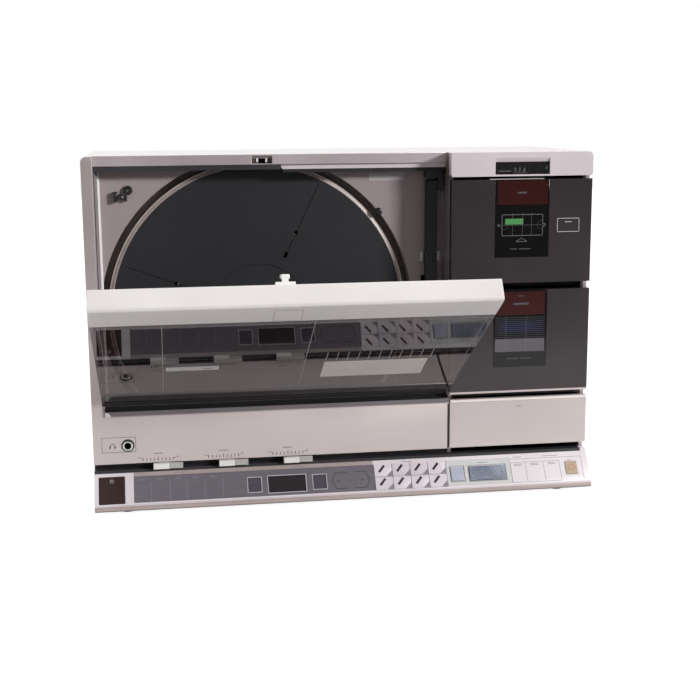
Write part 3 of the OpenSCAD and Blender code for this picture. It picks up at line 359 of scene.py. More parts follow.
# A piece made of small shapes on one face, each with its own ink or finish. A coat is how far a shape
# reaches into the face and stands out of it
class Sketch:
    def __init__(self, face):
        self.face = face
        self.shape = bmesh.new()
        self.inks = []

    def add(self, ink, points, faces):
        if ink not in self.inks:
            self.inks.append(ink)
        corners = [self.shape.verts.new(self.face @ Vector(p)) for p in points]
        for loop in faces:
            self.shape.faces.new([corners[i] for i in loop]).material_index = self.inks.index(ink)

    def prism(self, ink, outline, coat):
        n = len(outline)
        points = [(u, v, w) for w in coat for u, v in outline]
        sides = [(i, (i + 1) % n, n + (i + 1) % n, n + i) for i in range(n)]
        self.add(ink, points, [tuple(reversed(range(n))), tuple(range(n, 2 * n))] + sides)

    def block(self, ink, u0, u1, v0, v1, coat):
        self.prism(ink, [(u0, v0), (u1, v0), (u1, v1), (u0, v1)], coat)

    # A straight bar up or across the face, by its middle line
    def upLine(self, ink, u, v0, v1, width, coat):
        self.block(ink, u - width / 2, u + width / 2, v0, v1, coat)

    def crossLine(self, ink, u0, u1, v, width, coat):
        self.block(ink, u0, u1, v - width / 2, v + width / 2, coat)

    def stroke(self, ink, start, end, width, coat):
        run = (Vector(end) - Vector(start)).normalized() * width / 2
        side = Vector((-run.y, run.x))
        a, b = Vector(start) - run, Vector(end) + run
        self.prism(ink, [a - side, b - side, b + side, a + side], coat)

    def path(self, ink, spots, width, coat):
        for start, end in zip(spots, spots[1:]):
            self.stroke(ink, start, end, width, coat)

    def loop(self, ink, outline, width, coat):
        self.path(ink, outline + outline[:1], width, coat)

    def box(self, ink, u0, u1, v0, v1, width, coat):
        self.loop(ink, [(u0, v0), (u1, v0), (u1, v1), (u0, v1)], width, coat)

    def arc(self, ink, middle, radius, first, last, width, coat, steps=16):
        turns = [radians(first + (last - first) * i / steps) for i in range(steps + 1)]
        spots = [(middle[0] + radius * cos(t), middle[1] + radius * sin(t)) for t in turns]
        self.path(ink, spots, width, coat)

    # A v-w profile run along u
    def along(self, ink, profile, u0, u1):
        n = len(profile)
        points = [(u, v, w) for u in (u0, u1) for v, w in profile]
        sides = [(i, (i + 1) % n, n + (i + 1) % n, n + i) for i in range(n)]
        self.add(ink, points, [tuple(range(n)), tuple(reversed(range(n, 2 * n)))] + sides)

    # A turned shape about w: the profile runs from the axis outwards, or is a closed ring
    def turned(self, ink, middle, profile, steps=36, closed=False):
        points, faces = [], []
        for i in range(steps):
            t = 2 * pi * i / steps
            points += [(middle[0] + r * cos(t), middle[1] + r * sin(t), w) for r, w in profile]
        n = len(profile)
        for i in range(steps):
            a, b = i * n, (i + 1) % steps * n
            for j in range(n if closed else n - 1):
                k = (j + 1) % n
                faces.append((a + j, b + j, b + k, a + k))
        self.add(ink, points, faces)

    def hollow(self, ink, middle, profile, steps=36):
        self.turned(ink, middle, profile, steps, closed=True)

    # A flat ring from one radius to the other
    def ring(self, ink, middle, r0, r1, coat, steps=36):
        w0, w1 = coat
        self.hollow(ink, middle, [(r0, w0), (r0, w1), (r1, w1), (r1, w0)], steps)

    # A sheet with square openings, as one surface with a thickness
    def sheet(self, ink, u0, u1, v0, v1, holes, coat):
        us = sorted({u0, u1, *(h[0] for h in holes), *(h[1] for h in holes)})
        vs = sorted({v0, v1, *(h[2] for h in holes), *(h[3] for h in holes)})
        solid = {(i, j) for i in range(len(us) - 1) for j in range(len(vs) - 1)
                 if not any(h[0] <= us[i] < h[1] and h[2] <= vs[j] < h[3] for h in holes)}
        spot = {(i, j, k): (i * len(vs) + j) * 2 + k
                for i in range(len(us)) for j in range(len(vs)) for k in (0, 1)}
        faces = []
        for i, j in solid:
            a, b, c, d = (i, j), (i + 1, j), (i + 1, j + 1), (i, j + 1)
            faces += [[spot[p + (1,)] for p in (a, b, c, d)], [spot[p + (0,)] for p in (d, c, b, a)]]
            sides = ((a, b, (i, j - 1)), (b, c, (i + 1, j)), (c, d, (i, j + 1)), (d, a, (i - 1, j)))
            for p, q, beside in sides:
                if beside not in solid:
                    faces.append([spot[p + (0,)], spot[q + (0,)], spot[q + (1,)], spot[p + (1,)]])
        self.add(ink, [(u, v, w) for u in us for v in vs for w in coat], faces)

    # A numeral, made a mesh before it gets its place
    def numeral(self, ink, text, size, u, v, w0, depth, turn=None):
        letters = bpy.data.curves.new("numeral", "FONT")
        letters.body = text
        letters.size = size
        letters.align_x = "CENTER"
        letters.align_y = "CENTER"
        letters.extrude = depth / 2
        letters.offset = size * 0.02  # a little bolder
        letters.resolution_u = 3
        holder = placed("numeral", letters)
        mesh = bakedMesh(holder, "numeral")
        mesh.transform((turn or Matrix.Identity(4)) @ Matrix.Translation((u, v, w0 + depth / 2)))
        self.take(ink, mesh)
        bpy.data.objects.remove(holder)

    # A row of box marks from the Geometry Nodes tree
    def row(self, ink, count, start, step, size):
        inputs = {"Count": count, "Start": start, "Step": step, "Size": size, "Finish": finishes[ink]}
        self.take(ink, grown(markRow, [], inputs))

    def take(self, ink, mesh):
        self.add(ink, [v.co for v in mesh.vertices], [tuple(p.vertices) for p in mesh.polygons])
        bpy.data.meshes.remove(mesh)

    def done(self, name, body, smooth=None):
        for lone in [v for v in self.shape.verts if not v.link_faces]:
            self.shape.verts.remove(lone)
        bmesh.ops.recalc_face_normals(self.shape, faces=self.shape.faces)
        mesh = bpy.data.meshes.new(name)
        self.shape.to_mesh(mesh)
        self.shape.free()
        for ink in self.inks:
            mesh.materials.append(finishes[ink])
        if smooth:
            mesh.shade_smooth()
            mesh.set_sharp_from_angle(angle=radians(smooth))
        piece = placed(name, mesh)
        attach(piece, body)


# Geometry Nodes: a row of marks, and a shape set on points
def openTree(name, kinds):
    tree = bpy.data.node_groups.new(name, "GeometryNodeTree")
    for label, kind in kinds.items():
        tree.interface.new_socket(label, in_out="INPUT", socket_type="NodeSocket" + kind)
    tree.interface.new_socket("Made", in_out="OUTPUT", socket_type="NodeSocketGeometry")
    return tree, addNode(tree, "NodeGroupInput").outputs


def closeTree(tree, many, finish):
    real = addNode(tree, "GeometryNodeRealizeInstances", {0: many.outputs[0]})
    inked = addNode(tree, "GeometryNodeSetMaterial", {"Geometry": real.outputs[0], "Material": finish})
    addNode(tree, "NodeGroupOutput", {"Made": inked.outputs[0]})
    return tree


def rowTree():
    tree, given = openTree("markRow", {"Count": "Int", "Start": "Vector", "Step": "Vector",
                                       "Size": "Vector", "Finish": "Material"})
    spots = addNode(tree, "GeometryNodeMeshLine",
                    {"Count": given["Count"], "Start Location": given["Start"], "Offset": given["Step"]})
    mark = addNode(tree, "GeometryNodeMeshCube", {"Size": given["Size"]})
    many = addNode(tree, "GeometryNodeInstanceOnPoints",
                   {"Points": spots.outputs[0], "Instance": mark.outputs[0]})
    return closeTree(tree, many, given["Finish"])


def pointTree():
    tree, given = openTree("setOnPoints", {"Spots": "Geometry", "Shape": "Object", "Finish": "Material"})
    shape = addNode(tree, "GeometryNodeObjectInfo", {"Object": given["Shape"]})
    many = addNode(tree, "GeometryNodeInstanceOnPoints",
                   {"Points": given["Spots"], "Instance": shape.outputs["Geometry"]})
    return closeTree(tree, many, given["Finish"])


markRow, setOnPoints = rowTree(), pointTree()


def grown(tree, spots, inputs):
    seed = bpy.data.meshes.new("seed")
    seed.from_pydata(spots, [], [])
    holder = placed("seed", seed)
    nodesOn = holder.modifiers.new("grow", "NODES")
    nodesOn.node_group = tree
    for socket in tree.interface.items_tree:
        if socket.in_out == "INPUT" and socket.name in inputs:
            nodesOn[socket.identifier] = inputs[socket.name]
    mesh = bakedMesh(holder, "grown")
    bpy.data.objects.remove(holder)
    return mesh


# A piece from its parts: each names a kind of shape in Sketch, then its ink and numbers
def drawn(name, body, face, parts, smooth=None):
    sketch = Sketch(face)
    for kind, ink, *numbers in parts:
        getattr(sketch, kind)(ink, *numbers)
    sketch.done(name, body, smooth)


# The same field, larger all round
def widened(field, by):
    u0, u1, v0, v1 = field
    return u0 - by, u1 + by, v0 - by, v1 + by


# The usual coats
filmCoat, flushCoat, thinCoat, panelCoat = (-0.4, -0.02), (-0.1, 0.02), (-0.05, 0.03), (-0.04, 0.05)
glassCoat, gridCoat, doorCoat, overCoat = (-0.02, 0.03), (-0.05, 0.05), (-0.05, 0.06), (-0.05, 0.09)
plusCoat = (-0.04, 0.055)

# Sloped panel: grey film with its key fields and display frames, pale level film, key lines
displays = [(152.5, 166.2, 5.8, 21.4), (173, 211.6, 4.2, 22.2), (218.8, 232.8, 5.6, 21.2)]
levelKeys = [(362.4, 377.4, 5.8, 22.6), (382, 422, 5.2, 22.6)]
legendBars = [(85, 31.1, 11), (205, 31.1, 9), (318, 30.7, 11), (398, 25.3, 11), (436, 29.3, 9),
              (471, 29.3, 17), (491.5, 23.4, 5)]  # middle and length
legendBars += [(u, v, run) for u, run in ((435.8, 9), (453.5, 9), (472, 8)) for v in (21.6, 20.1)]
panelPrint = {"body": "frame", "face": slopeFace, "parts": [
    ("sheet", "greyFilm", 38.9, 282.1, 1.1, 28.9, displays, filmCoat),
    # display frames, then lines between the function fields
    *(("sheet", "paleInk", *widened(field, 0.6), [widened(field, -0.1)], (-0.1, 0.22)) for field in displays),
    *(("upLine", "filmLine", u, 1.6, 23, 0.4, flushCoat) for u in (55.6, 74.5, 91.4, 109.5, 127.6)),
    # outline with two dots right of the displays
    *(("path", "darkInk", [(end, 22.1), (bend, 22.1), (tip, 13.5), (bend, 4.9), (end, 4.9)], 0.65, flushCoat)
      for tip, bend, end in ((238.4, 242.4, 254.4), (277.7, 273.7, 261.7))),
    *(("turned", "darkInk", (u, 13.5), [(0, 0.03), (0.8, 0.03), (0.8, -0.1)], 12) for u in (245.5, 269.6)),
    # the displays' glass
    *(("block", ink, *widened(field, -0.3), (-0.45, -0.36))
      for field, ink in zip(displays, ("slateFilm", "umberFilm", "slateFilm"))),
    ("block", "channelAbsAndShade", 0.5, 506, 33.2, 36.3, (-0.1, 0.2)),  # dark upper edge
    ("block", "lipLacquer", 38.9, 282.1, 29, 33.2, (-0.1, 0.015)),  # band over the grey film
    ("sheet", "paleFilm", 359.1, 427.1, 1.1, 28.9, levelKeys, filmCoat),
    *(("box", "darkInk", *widened(field, 0.2), 0.35, (-0.1, 0.03)) for field in levelKeys),
    # lines round the tape keys' fields, then beside the preset keys
    *(("upLine", "softInk", u, 1.3, 23.5, 0.4, thinCoat) for u in (427.8, 443.8, 463.3, 480.7)),
    *(("crossLine", "softInk", 427.8, u, v, 0.4, thinCoat)
      for u, v in ((480.7, 1.3), (480.7, 23.5), (505, 27.2))),
    ("upLine", "softInk", 505, 1.3, 27.2, 0.4, thinCoat),
    *(("upLine", "softInk", u, 0.9, 29.4, 0.4, thinCoat) for u in (282.4, 358.6)),
    # short bars over the fields
    *(("upLine", "filmLine", u, 24.6, 25.2, 6.4, flushCoat) for u in (47, 65, 83, 100.5, 118.5)),
    *(("crossLine", "softInk", u - run / 2, u + run / 2, v, 0.6, thinCoat) for u, v, run in legendBars)]}
drawn("panelPrint", **panelPrint)

# Preset keys: lamp slot, grey corner and numeral
presetKey = {"left": 282.8, "pitch": 18.9, "low": 0.8, "row": 14.2, "columns": 4, "slotLength": 9.2,
             "slotWidth": 2.5, "slotShift": 1.5, "lean": 40, "slotCoat": (0.18, 0.68), "corner": 6.6,
             "gap": 0.25, "margin": 0.3, "cornerCoat": (0.15, 0.63), "numeral": (2, 2.2), "size": 2.2,
             "numeralFoot": 0.62, "numeralDepth": 0.03}


def presetMarks(i):
    line, column = divmod(i - 1, presetKey["columns"])
    pitch, row, width, shift = (presetKey[key] for key in ("pitch", "row", "slotWidth", "slotShift"))
    left, low = presetKey["left"] + column * pitch, presetKey["low"] + (1 - line) * row
    mid = Vector((left + pitch / 2 - shift, low + row / 2 + shift))
    lean = radians(presetKey["lean"])
    run = Vector((sin(lean), cos(lean))) * (presetKey["slotLength"] - width) / 2
    right, corner, foot = left + pitch - presetKey["gap"], presetKey["corner"], low + presetKey["margin"]
    across, up = presetKey["numeral"]
    drawn(f"presetMarks{i}", f"preset_{i}_key", slopeFace, [
        ("stroke", "lampLens", mid - run, mid + run, width, presetKey["slotCoat"]),
        ("prism", "cornerInk", [(right - corner, foot), (right, foot), (right, foot + corner)],
         presetKey["cornerCoat"]),
        ("numeral", "darkInk", str(i), presetKey["size"], right - across, low + up,
         presetKey["numeralFoot"], presetKey["numeralDepth"])])


for i in range(1, 9):
    presetMarks(i)

# Keys: power sign, the record key's ring, minus and plus on the volume bar
signCoat, minusCoat = (0.55, 0.64), (0.52, 0.64)
powerSign = {"body": "power", "face": slopeFace, "parts": [
    ("arc", "paleInk", (17.2, 24.4), 1.7, 120, 420, 0.5, signCoat),
    ("stroke", "paleInk", (17.2, 24.6), (17.2, 26.6), 0.5, signCoat)]}
recordRing = {"body": "record", "face": slopeFace, "parts": [
    ("ring", "orangeInk", (492.9, 14.9), 3.6, 2.8, (0.55, 0.72))]}
volumeSigns = {"body": "volume", "face": slopeFace, "parts": [
    *(("stroke", "darkInk", (u - 1, 13.9), (u + 1, 13.9), 0.45, minusCoat) for u in (386.6, 417.4)),
    ("stroke", "darkInk", (417.4, 12.9), (417.4, 14.9), 0.45, (0.52, 0.645))]}
drawn("powerSign", **powerSign)
drawn("recordRing", **recordRing)
drawn("volumeSigns", **volumeSigns)

# Front panel: slider scales, the box round the jack with a plain headset sign, the jack's plated ring
sliderScale = {"marks": [(48.7, 63.8, 79), (114.3, 129.4, 144.5), (179.5, 195, 210.4)], "z": 46.6,
               "count": 9, "tick": (0.7, 2.9, 0.08), "middle": (-1.45, 2.5, 0.7), "line": 0.5,
               "ends": [(0, 2.2, 1.1), (3.4, 4.8, 1.9)], "plus": (4, 1.3, 2.5), "bar": (52, 53.1, 9.5)}


def scaleParts(first, middle, last):
    z, count, line = (sliderScale[key] for key in ("z", "count", "line"))
    step = (last - first) / (count - 1)
    below, above, width = sliderScale["middle"]
    parts = [("row", "darkInk", count, (first, z, 0), (step, 0, 0), sliderScale["tick"]),
             ("upLine", "darkInk", middle, z + below, z + above, width, panelCoat)]
    for u, way in ((first, -1), (last, 1)):
        for near, far, lift in sliderScale["ends"]:
            spots = (u + way * near, z + lift), (u + way * far, z + lift)
            parts.append(("stroke", "darkInk", *spots, line, panelCoat))
    out, below, above = sliderScale["plus"]
    return parts + [("stroke", "darkInk", (last + out, z + below), (last + out, z + above), line, plusCoat),
                    ("upLine", "softInk", middle, *sliderScale["bar"], panelCoat)]


frontPrint = {"body": "frame", "face": frontFace(0), "smooth": 40, "parts": [
    *(part for scale in sliderScale["marks"] for part in scaleParts(*scale)),
    ("box", "darkInk", 8.7, 41.9, 55.3, 70.5, 0.4, panelCoat),
    ("block", "blackInk", 361.8, 363.58, 43.6, 91.1, (-0.04, 0.04)),  # joint beside the column
    ("block", "postShadeLacquer", 0.5, 10.1, 101.5, 344.5, (-0.1, 0.03)),  # the post's deeper tone: painted shade
    ("arc", "darkInk", (19, 61.6), 2.4, 0, 180, 0.5, panelCoat),
    *(("upLine", "darkInk", u, 59.4, 61.8, 1.4, panelCoat) for u in (16.6, 21.4)),
    ("hollow", "platedSteel", (34.2, 61.9), [(3.3, 0.9), (3.5, 1.5), (4.4, 1.7), (5.1, 1.4), (5.2, 0.9)])]}
drawn("frontPrint", **frontPrint)

# Lid: black masked band, guide lines, stylus scale, blank card and strip, rims, push outline
windowMask = {"body": "lid", "face": lidTurn @ frontFace(3.4), "parts": [
    ("block", "blackInk", 14.1, 360.4, 114.2, 138, (-0.12, 0.0))]}
windowPrint = {"body": "lid", "face": lidTurn @ frontFace(0.4), "parts": [
    *(("upLine", "lineInk", u, 143, 311, 0.54, glassCoat) for u in (71.2, 203.6)),  # guide lines
    ("row", "lineInk", 11, (223.3, 222.5, 0), (10.03, 0, 0), (0.6, 21.5, 0.06)),  # stylus scale
    ("block", "creamCardAndHighlight", 222.3, 322, 167.5, 208.4, (-0.03, 0.15)),
    ("block", "whiteInkAndHighlight", 74, 123.3, 198.5, 208.2, (-0.03, 0.1)),  # strip with a short dash
    ("block", "duskInk", 108.3, 117.7, 202.7, 204.3, (0.05, 0.12)),
    *(("upLine", "softInk", u, 140, 311, 0.4, glassCoat) for u in (18.6, 357.4)),  # pale rims
    *(("upLine", "blackInk", u, 115, 313, 0.8, (-0.02, 0.04)) for u in (11.4, 363.1))]}  # dark edges
barPrint = {"body": "lid", "face": lidTurn @ frontFace(0), "parts": [
    ("box", "softInk", 166, 190.4, 315.6, 337.8, 0.4, (-0.05, 0.04))]}
drawn("windowMask", **windowMask)
drawn("windowPrint", **windowPrint)
drawn("barPrint", **barPrint)

# Doors: red heads, cassette diagram, ribs, push frame, bright trim
paneFace, reelHeight, paneFoot = frontFace(0.1), 274.45, (-0.1, 0.13)
tapePrint = {"body": "tape_flap", "face": paneFace, "parts": [
    ("block", "redInk", 412.2, 464.6, 295.3, 319.4, doorCoat),  # red head
    ("box", "ashInk", 417.1, 459.8, 263.8, 285.1, 0.6, doorCoat),  # the cassette's shell
    *(("upLine", "dimInk", u, 263.8, 286.9, 0.4, gridCoat) for u in (428.1, 438.6, 448)),
    ("crossLine", "dimInk", 417.1, 462.8, reelHeight, 0.4, gridCoat),
    ("arc", "dimInk", (419.5, reelHeight), 4.4, 200, 340, 0.45, doorCoat),
    ("arc", "dimInk", (458.6, reelHeight), 4.4, 90, 270, 0.45, doorCoat),
    ("ring", "ashInk", (461.2, reelHeight), 1.1, 1.7, doorCoat, 20),
    ("ring", "ashInk", (413.9, reelHeight), 0.7, 1.3, doorCoat, 20),
    ("block", "greenInk", 420.3, 439.3, 275.2, 281, overCoat),  # the label's lit part
    ("block", "tintedLens", 409.7, 466.3, 241.5, 243.1, paneFoot),
    # the diagram's head, and short bars
    ("loop", "ashInk", [(432, 257.6), (443.7, 257.6), (439.4, 260.2), (437.9, 261.4), (436.4, 260.2)],
     0.5, doorCoat),
    *(("block", "dimInk", *bar, overCoat) for bar in (
        (433.2, 442.4, 306.3, 308.2), (425.8, 433.4, 249.8, 250.6), (435.6, 447.6, 249.8, 250.6)))]}
tapePushFrame = {"body": "tape_flap", "face": frontFace(0), "parts": [
    ("box", "paleInk", 475.5, 498.5, 266.9, 280.5, 0.55, panelCoat),
    ("block", "paleInk", 483.6, 490.6, 276.6, 277.3, panelCoat)]}
storageRibs = {"left": 411.6, "right": 464.3, "low": 143.3, "change": 157.4, "high": 180.8, "pitch": 2.05,
               "start": 0.6, "lift": 0.04, "depth": 0.16}


def ribRow(ink, low, high, height):
    left, right, pitch = (storageRibs[key] for key in ("left", "right", "pitch"))
    start = ((left + right) / 2, low + pitch * storageRibs["start"], storageRibs["lift"])
    size = (right - left, height, storageRibs["depth"])
    return ("row", ink, int((high - low) / pitch), start, (0, pitch, 0), size)


left, right, low, change, high = (storageRibs[key] for key in ("left", "right", "low", "change", "high"))
storagePrint = {"body": "bin", "face": paneFace, "parts": [
    ("block", "redInk", 412.9, 464.2, 181.8, 205.9, doorCoat),
    ("block", "tintedLens", 409.7, 466.3, 127.4, 130.4, paneFoot),
    *(("block", "dimInk", *bar, overCoat) for bar in (
        (435.2, 441.8, 201.2, 202), (430.2, 446.8, 192.4, 194.4),
        (424, 436.4, 135.7, 136.6), (438.8, 450, 135.7, 136.6))),
    # dark upper and grey lower half, with a painted reflection, a blue gleam, on the dark one
    ("block", "deepInk", left, right, change, high, thinCoat),
    ("block", "duskInk", left, right, low, change - 0.3, thinCoat),
    ("block", "paintedNavyGleam", 414, 462, 162.5, 176, (0, 0.04)),
    ("block", "paintedBlueGleam", 420, 454, 165, 173, (0, 0.05)),
    ribRow("dimInk", change, high, 0.32),
    ribRow("ashInk", low, change, 0.7),
    *(("upLine", ink, u, v0, v1, width, (-0.05, 0.1)) for u in (423, 444.5)
      for ink, v0, v1, width in (("ashInk", low, change, 0.5), ("dimInk", change, high, 0.4)))]}
# slim enough to swing clear of the sleeve
storageTrim = {"body": "bin", "face": frontFace(0), "parts": [
    ("along", "champagneLacquer", [(102.6, -0.1), (100.4, -0.1), (100.4, -0.8), (102.6, -3.2)],
     364.6, 511.4)]}
drawn("tapePrint", **tapePrint)
drawn("tapePushFrame", **tapePushFrame)
drawn("storagePrint", **storagePrint)
drawn("storageTrim", **storageTrim)

# Counter: ten numerals round each wheel, a dark mask behind the pane, a plain bar beside the numerals
counterWheel = {"x": (432.2, 437, 441.8), "y": 12, "z": 331.8, "radius": 4.2, "shown": (2, 1, 0),
                "size": 3.7, "turn": 36, "roll": 24, "sink": 0.03, "depth": 0.06}


def wheelNumeral(u, shown, digit):
    roll = radians((shown - digit) * counterWheel["turn"] + counterWheel["roll"])
    about = Matrix.Translation((0, counterWheel["z"], 0)) @ Matrix.Rotation(roll, 4, "X")
    return ("numeral", "counterInkPaintedGlow", str(digit), counterWheel["size"], u, 0,
            counterWheel["radius"] - counterWheel["sink"], counterWheel["depth"], about)


counterNumerals = {"body": "counter", "face": frontFace(counterWheel["y"]), "parts": [
    wheelNumeral(u, shown, digit)
    for u, shown in zip(counterWheel["x"], counterWheel["shown"]) for digit in range(10)]}
counterMask = {"body": "frame", "face": frontFace(5), "parts": [
    ("sheet", "deepInk", 410.3, 465.7, 325.9, 337.5, [(429.4, 444.6, 326.4, 332.2)], (-0.2, -0.05))]}
counterBar = {"body": "frame", "face": frontFace(3), "parts": [
    ("block", "ashInk", 413.5, 426.4, 328.6, 329.4, (-0.03, 0.03))]}
drawn("counterNumerals", **counterNumerals)
drawn("counterMask", **counterMask)
drawn("counterBar", **counterBar)

# Trims at the fascia's foot and the tape door's head, and a painted highlight along the flap's upper edge
fasciaLip = {"body": "frame", "face": frontFace(0), "parts": [
    ("block", "paleLacquerAndHighlight", 364.8, 511.2, 323.9, 325.6, (-3, -0.05))]}
tapeDoorHead = {"body": "tape_flap", "face": frontFace(0), "parts": [
    ("block", "champagneLacquer", 404, 461, 320.5, 321.5, (-5, -0.3))]}
flapEdge = {"body": "lower_flap", "face": frontFace(0), "parts": [
    # painted highlight along the flap's upper edge
    ("block", "creamCardAndHighlight", 364.9, 511.1, 91.8, 94.3, (-0.1, 0.05)),
    ("block", "softInk", 434.8, 441.2, 84.9, 85.7, (-0.05, 0.04))]}
drawn("fasciaLip", **fasciaLip)
drawn("tapeDoorHead", **tapeDoorHead)
drawn("flapEdge", **flapEdge)

# Deck: record-size lever at the upper left, rubber stud at the right of the well, small blank plate
leverRing, leverFoot = (43.1, 313.6), -0.5
deckFittings = {"body": "frame", "face": frontFace(38), "smooth": 40, "parts": [
    ("hollow", "blackAbsAndShade", leverRing,
     [(2.2, leverFoot), (2.2, 2.2), (2.8, 2.9), (4.1, 2.9), (4.7, 2.2), (4.7, leverFoot)]),
    ("turned", "platedSteel", leverRing, [(0, 2.4), (0.9, 2.3), (1.3, 1.8), (1.3, leverFoot)], 20),
    # the lever's bars and pin, the stud, the plate
    *(("block", "blackAbsAndShade", *bar, (leverFoot, lift)) for *bar, lift in (
        (29.3, 31.2, 302.4, 312.4, 5), (31.2, 33, 302.4, 304.2, 5), (31.2, 33, 310.6, 312.4, 5),
        (35, 37, 304.6, 310.3, 3.4), (39.2, 42.2, 303.2, 308.2, 4))),
    ("turned", "platedSteel", (37.9, 307.3), [(0, 3.6), (1.1, 3.3), (1.5, 2.6), (1.5, leverFoot)], 20),
    ("turned", "blackInk", (296.3, 288), [(0, 1.5), (2.4, 1.4), (3.6, 1.1), (4.1, 0.5), (4.1, leverFoot)]),
    ("block", "lineInk", 286.6, 323, 319.5, 327.5, (-0.2, 0.3))]}
drawn("deckFittings", **deckFittings)

# The bay's edges: a painted highlight along the deck's left edge and painted shade beside the post, the
# column's cheek, two seals under the top whose dark faces are painted shade, the slanted wall with painted
# shade and a painted highlight
bayHeight, wallCoat = (101, 337.5), (-0.1, 0.12)
bayEdges = {"body": "frame", "face": frontFace(0), "parts": [
    # painted highlight along the deck's left edge
    ("block", "whiteInkAndHighlight", 15.1, 15.8, *bayHeight, (-38.1, -37.2)),
    # painted shade in the gap at the post's inner edge
    ("block", "umberShadeLacquer", 10.6, 11.6, *bayHeight, (-24.3, -22.5)),
    ("block", "oliveLacquer", 364.02, 364.25, 322, 347.6, (-23.8, -0.4)),
    # seals under the top: they cast the top's shadow, and their dark faces are painted shade for the gap
    # beneath it
    ("block", "channelAbsAndShade", 11, 195, 333, 338.2, (-23.8, -21.4)),
    ("block", "blackRubberAndShade", 197, 363.4, 329.8, 333.1, (-25.4, -24.1))]}
wallFace = faceFrame((-245.5, 24, cabinet["foot"]), Vector((5, 14, 0)).normalized(), (0, 0, 1))
bayWall = {"body": "frame", "face": wallFace, "parts": [
    # painted shade over the slanted wall, and a painted highlight at its edge
    ("block", "shadedWallLacquer", 0.3, 9.4, *bayHeight, wallCoat),
    ("block", "whiteInkAndHighlight", 9.4, 14.3, *bayHeight, wallCoat)]}
drawn("bayEdges", **bayEdges)
drawn("bayWall", **bayWall)

# Catch: two white ribs on the jaws
catchRibs = {"body": "catch", "face": frontFace(24.6), "parts": [
    ("upLine", "whiteAcetalAndHighlight", u, 340.4, 345, 1.7, (-0.2, 0.35)) for u in (171.4, 180.6)]}
drawn("catchRibs", **catchRibs)

# Platter: turned rim with a chamfer outwards, a black ring outside it that is painted shade in the gap, the
# mat's rolled edge, its bed ring and middle
hub, rimSteps = (172, 187), 180
platterRim = {"body": "turntable", "face": frontFace(0), "smooth": 30, "parts": [
    ("hollow", "rimLacquer", hub, [(148.6, -45.5), (148.6, -42.2), (149.1, -41.8), (151.9, -44.1),
                                   (152.9, -44.1), (152.9, -46)], rimSteps),
    # painted shade: a black ring over the gap outside the rim
    ("ring", "blackAbsAndShade", hub, 152.9, 153.9, (-46, -45.1), rimSteps),
    ("hollow", "matRubber", hub, [(147.6, -45.2), (147.6, -42.1), (148.1, -41.9), (148.6, -42.1),
                                  (148.6, -45.2)], rimSteps),
    ("ring", "matRubber", hub, 49.6, 60.5, (-42.62, -41.97), rimSteps),
    ("ring", "matRubber", hub, 5, 48.8, (-42.62, -42.1), rimSteps)]}
drawn("platterRim", **platterRim)

# Painted shade on the panel's bevel under the lid's hinge: black on its upper half, dark on its lower half,
# with a painted highlight at its left end; the slider channel's floor
slant = sqrt(0.5)
bevelFace = faceFrame((-halfWidth, 0, 96.2), (1, 0, 0), (0, slant, slant))
channelFace = faceFrame((-halfWidth, 0, 41.5), (1, 0, 0), (0, 1, 0))
stripLow, stripHigh = (v * sqrt(2) for v in (4.4, 9.3))
hingeStrip = {"body": "frame", "face": bevelFace, "parts": [
    ("block", "blackAbsAndShade", 13, 363.2, stripLow, stripHigh, (-0.2, 0.35)),
    ("block", "shadedWallLacquer", 13, 363.2, 1.2, stripLow, (-0.2, 0.175)),
    # painted highlight at the bevel's left end
    ("prism", "whiteAcetalAndHighlight", [(13.2, 0.6), (19, 0.6), (16.5, 5), (13.2, 5.6)], (-0.2, 0.45))]}
channelFloor = {"body": "frame", "face": channelFace, "parts": [
    ("block", "channelAbsAndShade", 0.5, 506, 0.6, 9.8, (-0.2, 0.2)),
    ("block", "blackAbsAndShade", 0.3, 4.1, 9.6, 10.6, (0, 6.4))]}
drawn("hingeStrip", **hingeStrip)
drawn("channelFloor", **channelFloor)

# Lip: bands round the bead at the panel's foot: painted shade below, the lip's lacquer in the middle, a
# painted highlight above
lipBead = {"out": 19.75, "up": 3.75, "radii": (3.7, 3.81), "steps": 8}


def beadProfile(first, last):
    out, up, steps = (lipBead[key] for key in ("out", "up", "steps"))
    spots = []
    for radius, way in zip(lipBead["radii"], (1, -1)):
        turns = [radians(first + (last - first) * i / steps) for i in range(steps + 1)][::way]
        spots += [(up + radius * sin(t), out + radius * cos(t)) for t in turns]
    return spots


lipBand = {"body": "frame", "face": frontFace(0), "smooth": 30, "parts": [
    ("along", ink, beadProfile(first, last), 0.4, 511.6)
    for ink, first, last in (("umberShadeLacquer", -80, -34), ("lipLacquer", -34, 34), ("paleLacquerAndHighlight", 34, 62))]}
drawn("lipBand", **lipBand)

# Slider grips: fine ribs on the right half of each knob
gripFace = frontFace(-3.8)
for name, u in (("bass", 66.8), ("treble", 132.6), ("balance", 198.4)):
    gripRibs = {"body": name, "face": gripFace, "parts": [
        ("block", "smokeAcetal", u + 8.2, u + 21.6, 37.2, 42.3, (-0.1, 0.08)),
        ("row", "paleGrip", 5, (u + 10.4, 39.75, 0), (2.3, 0, 0), (1.3, 4.2, 0.3)),
        ("block", "blackInk", u + 7.2, u + 8.1, 36.9, 42.6, (-0.1, 0.1))]}
    drawn(name + "GripRibs", **gripRibs)
print("prints, signs and fittings made")


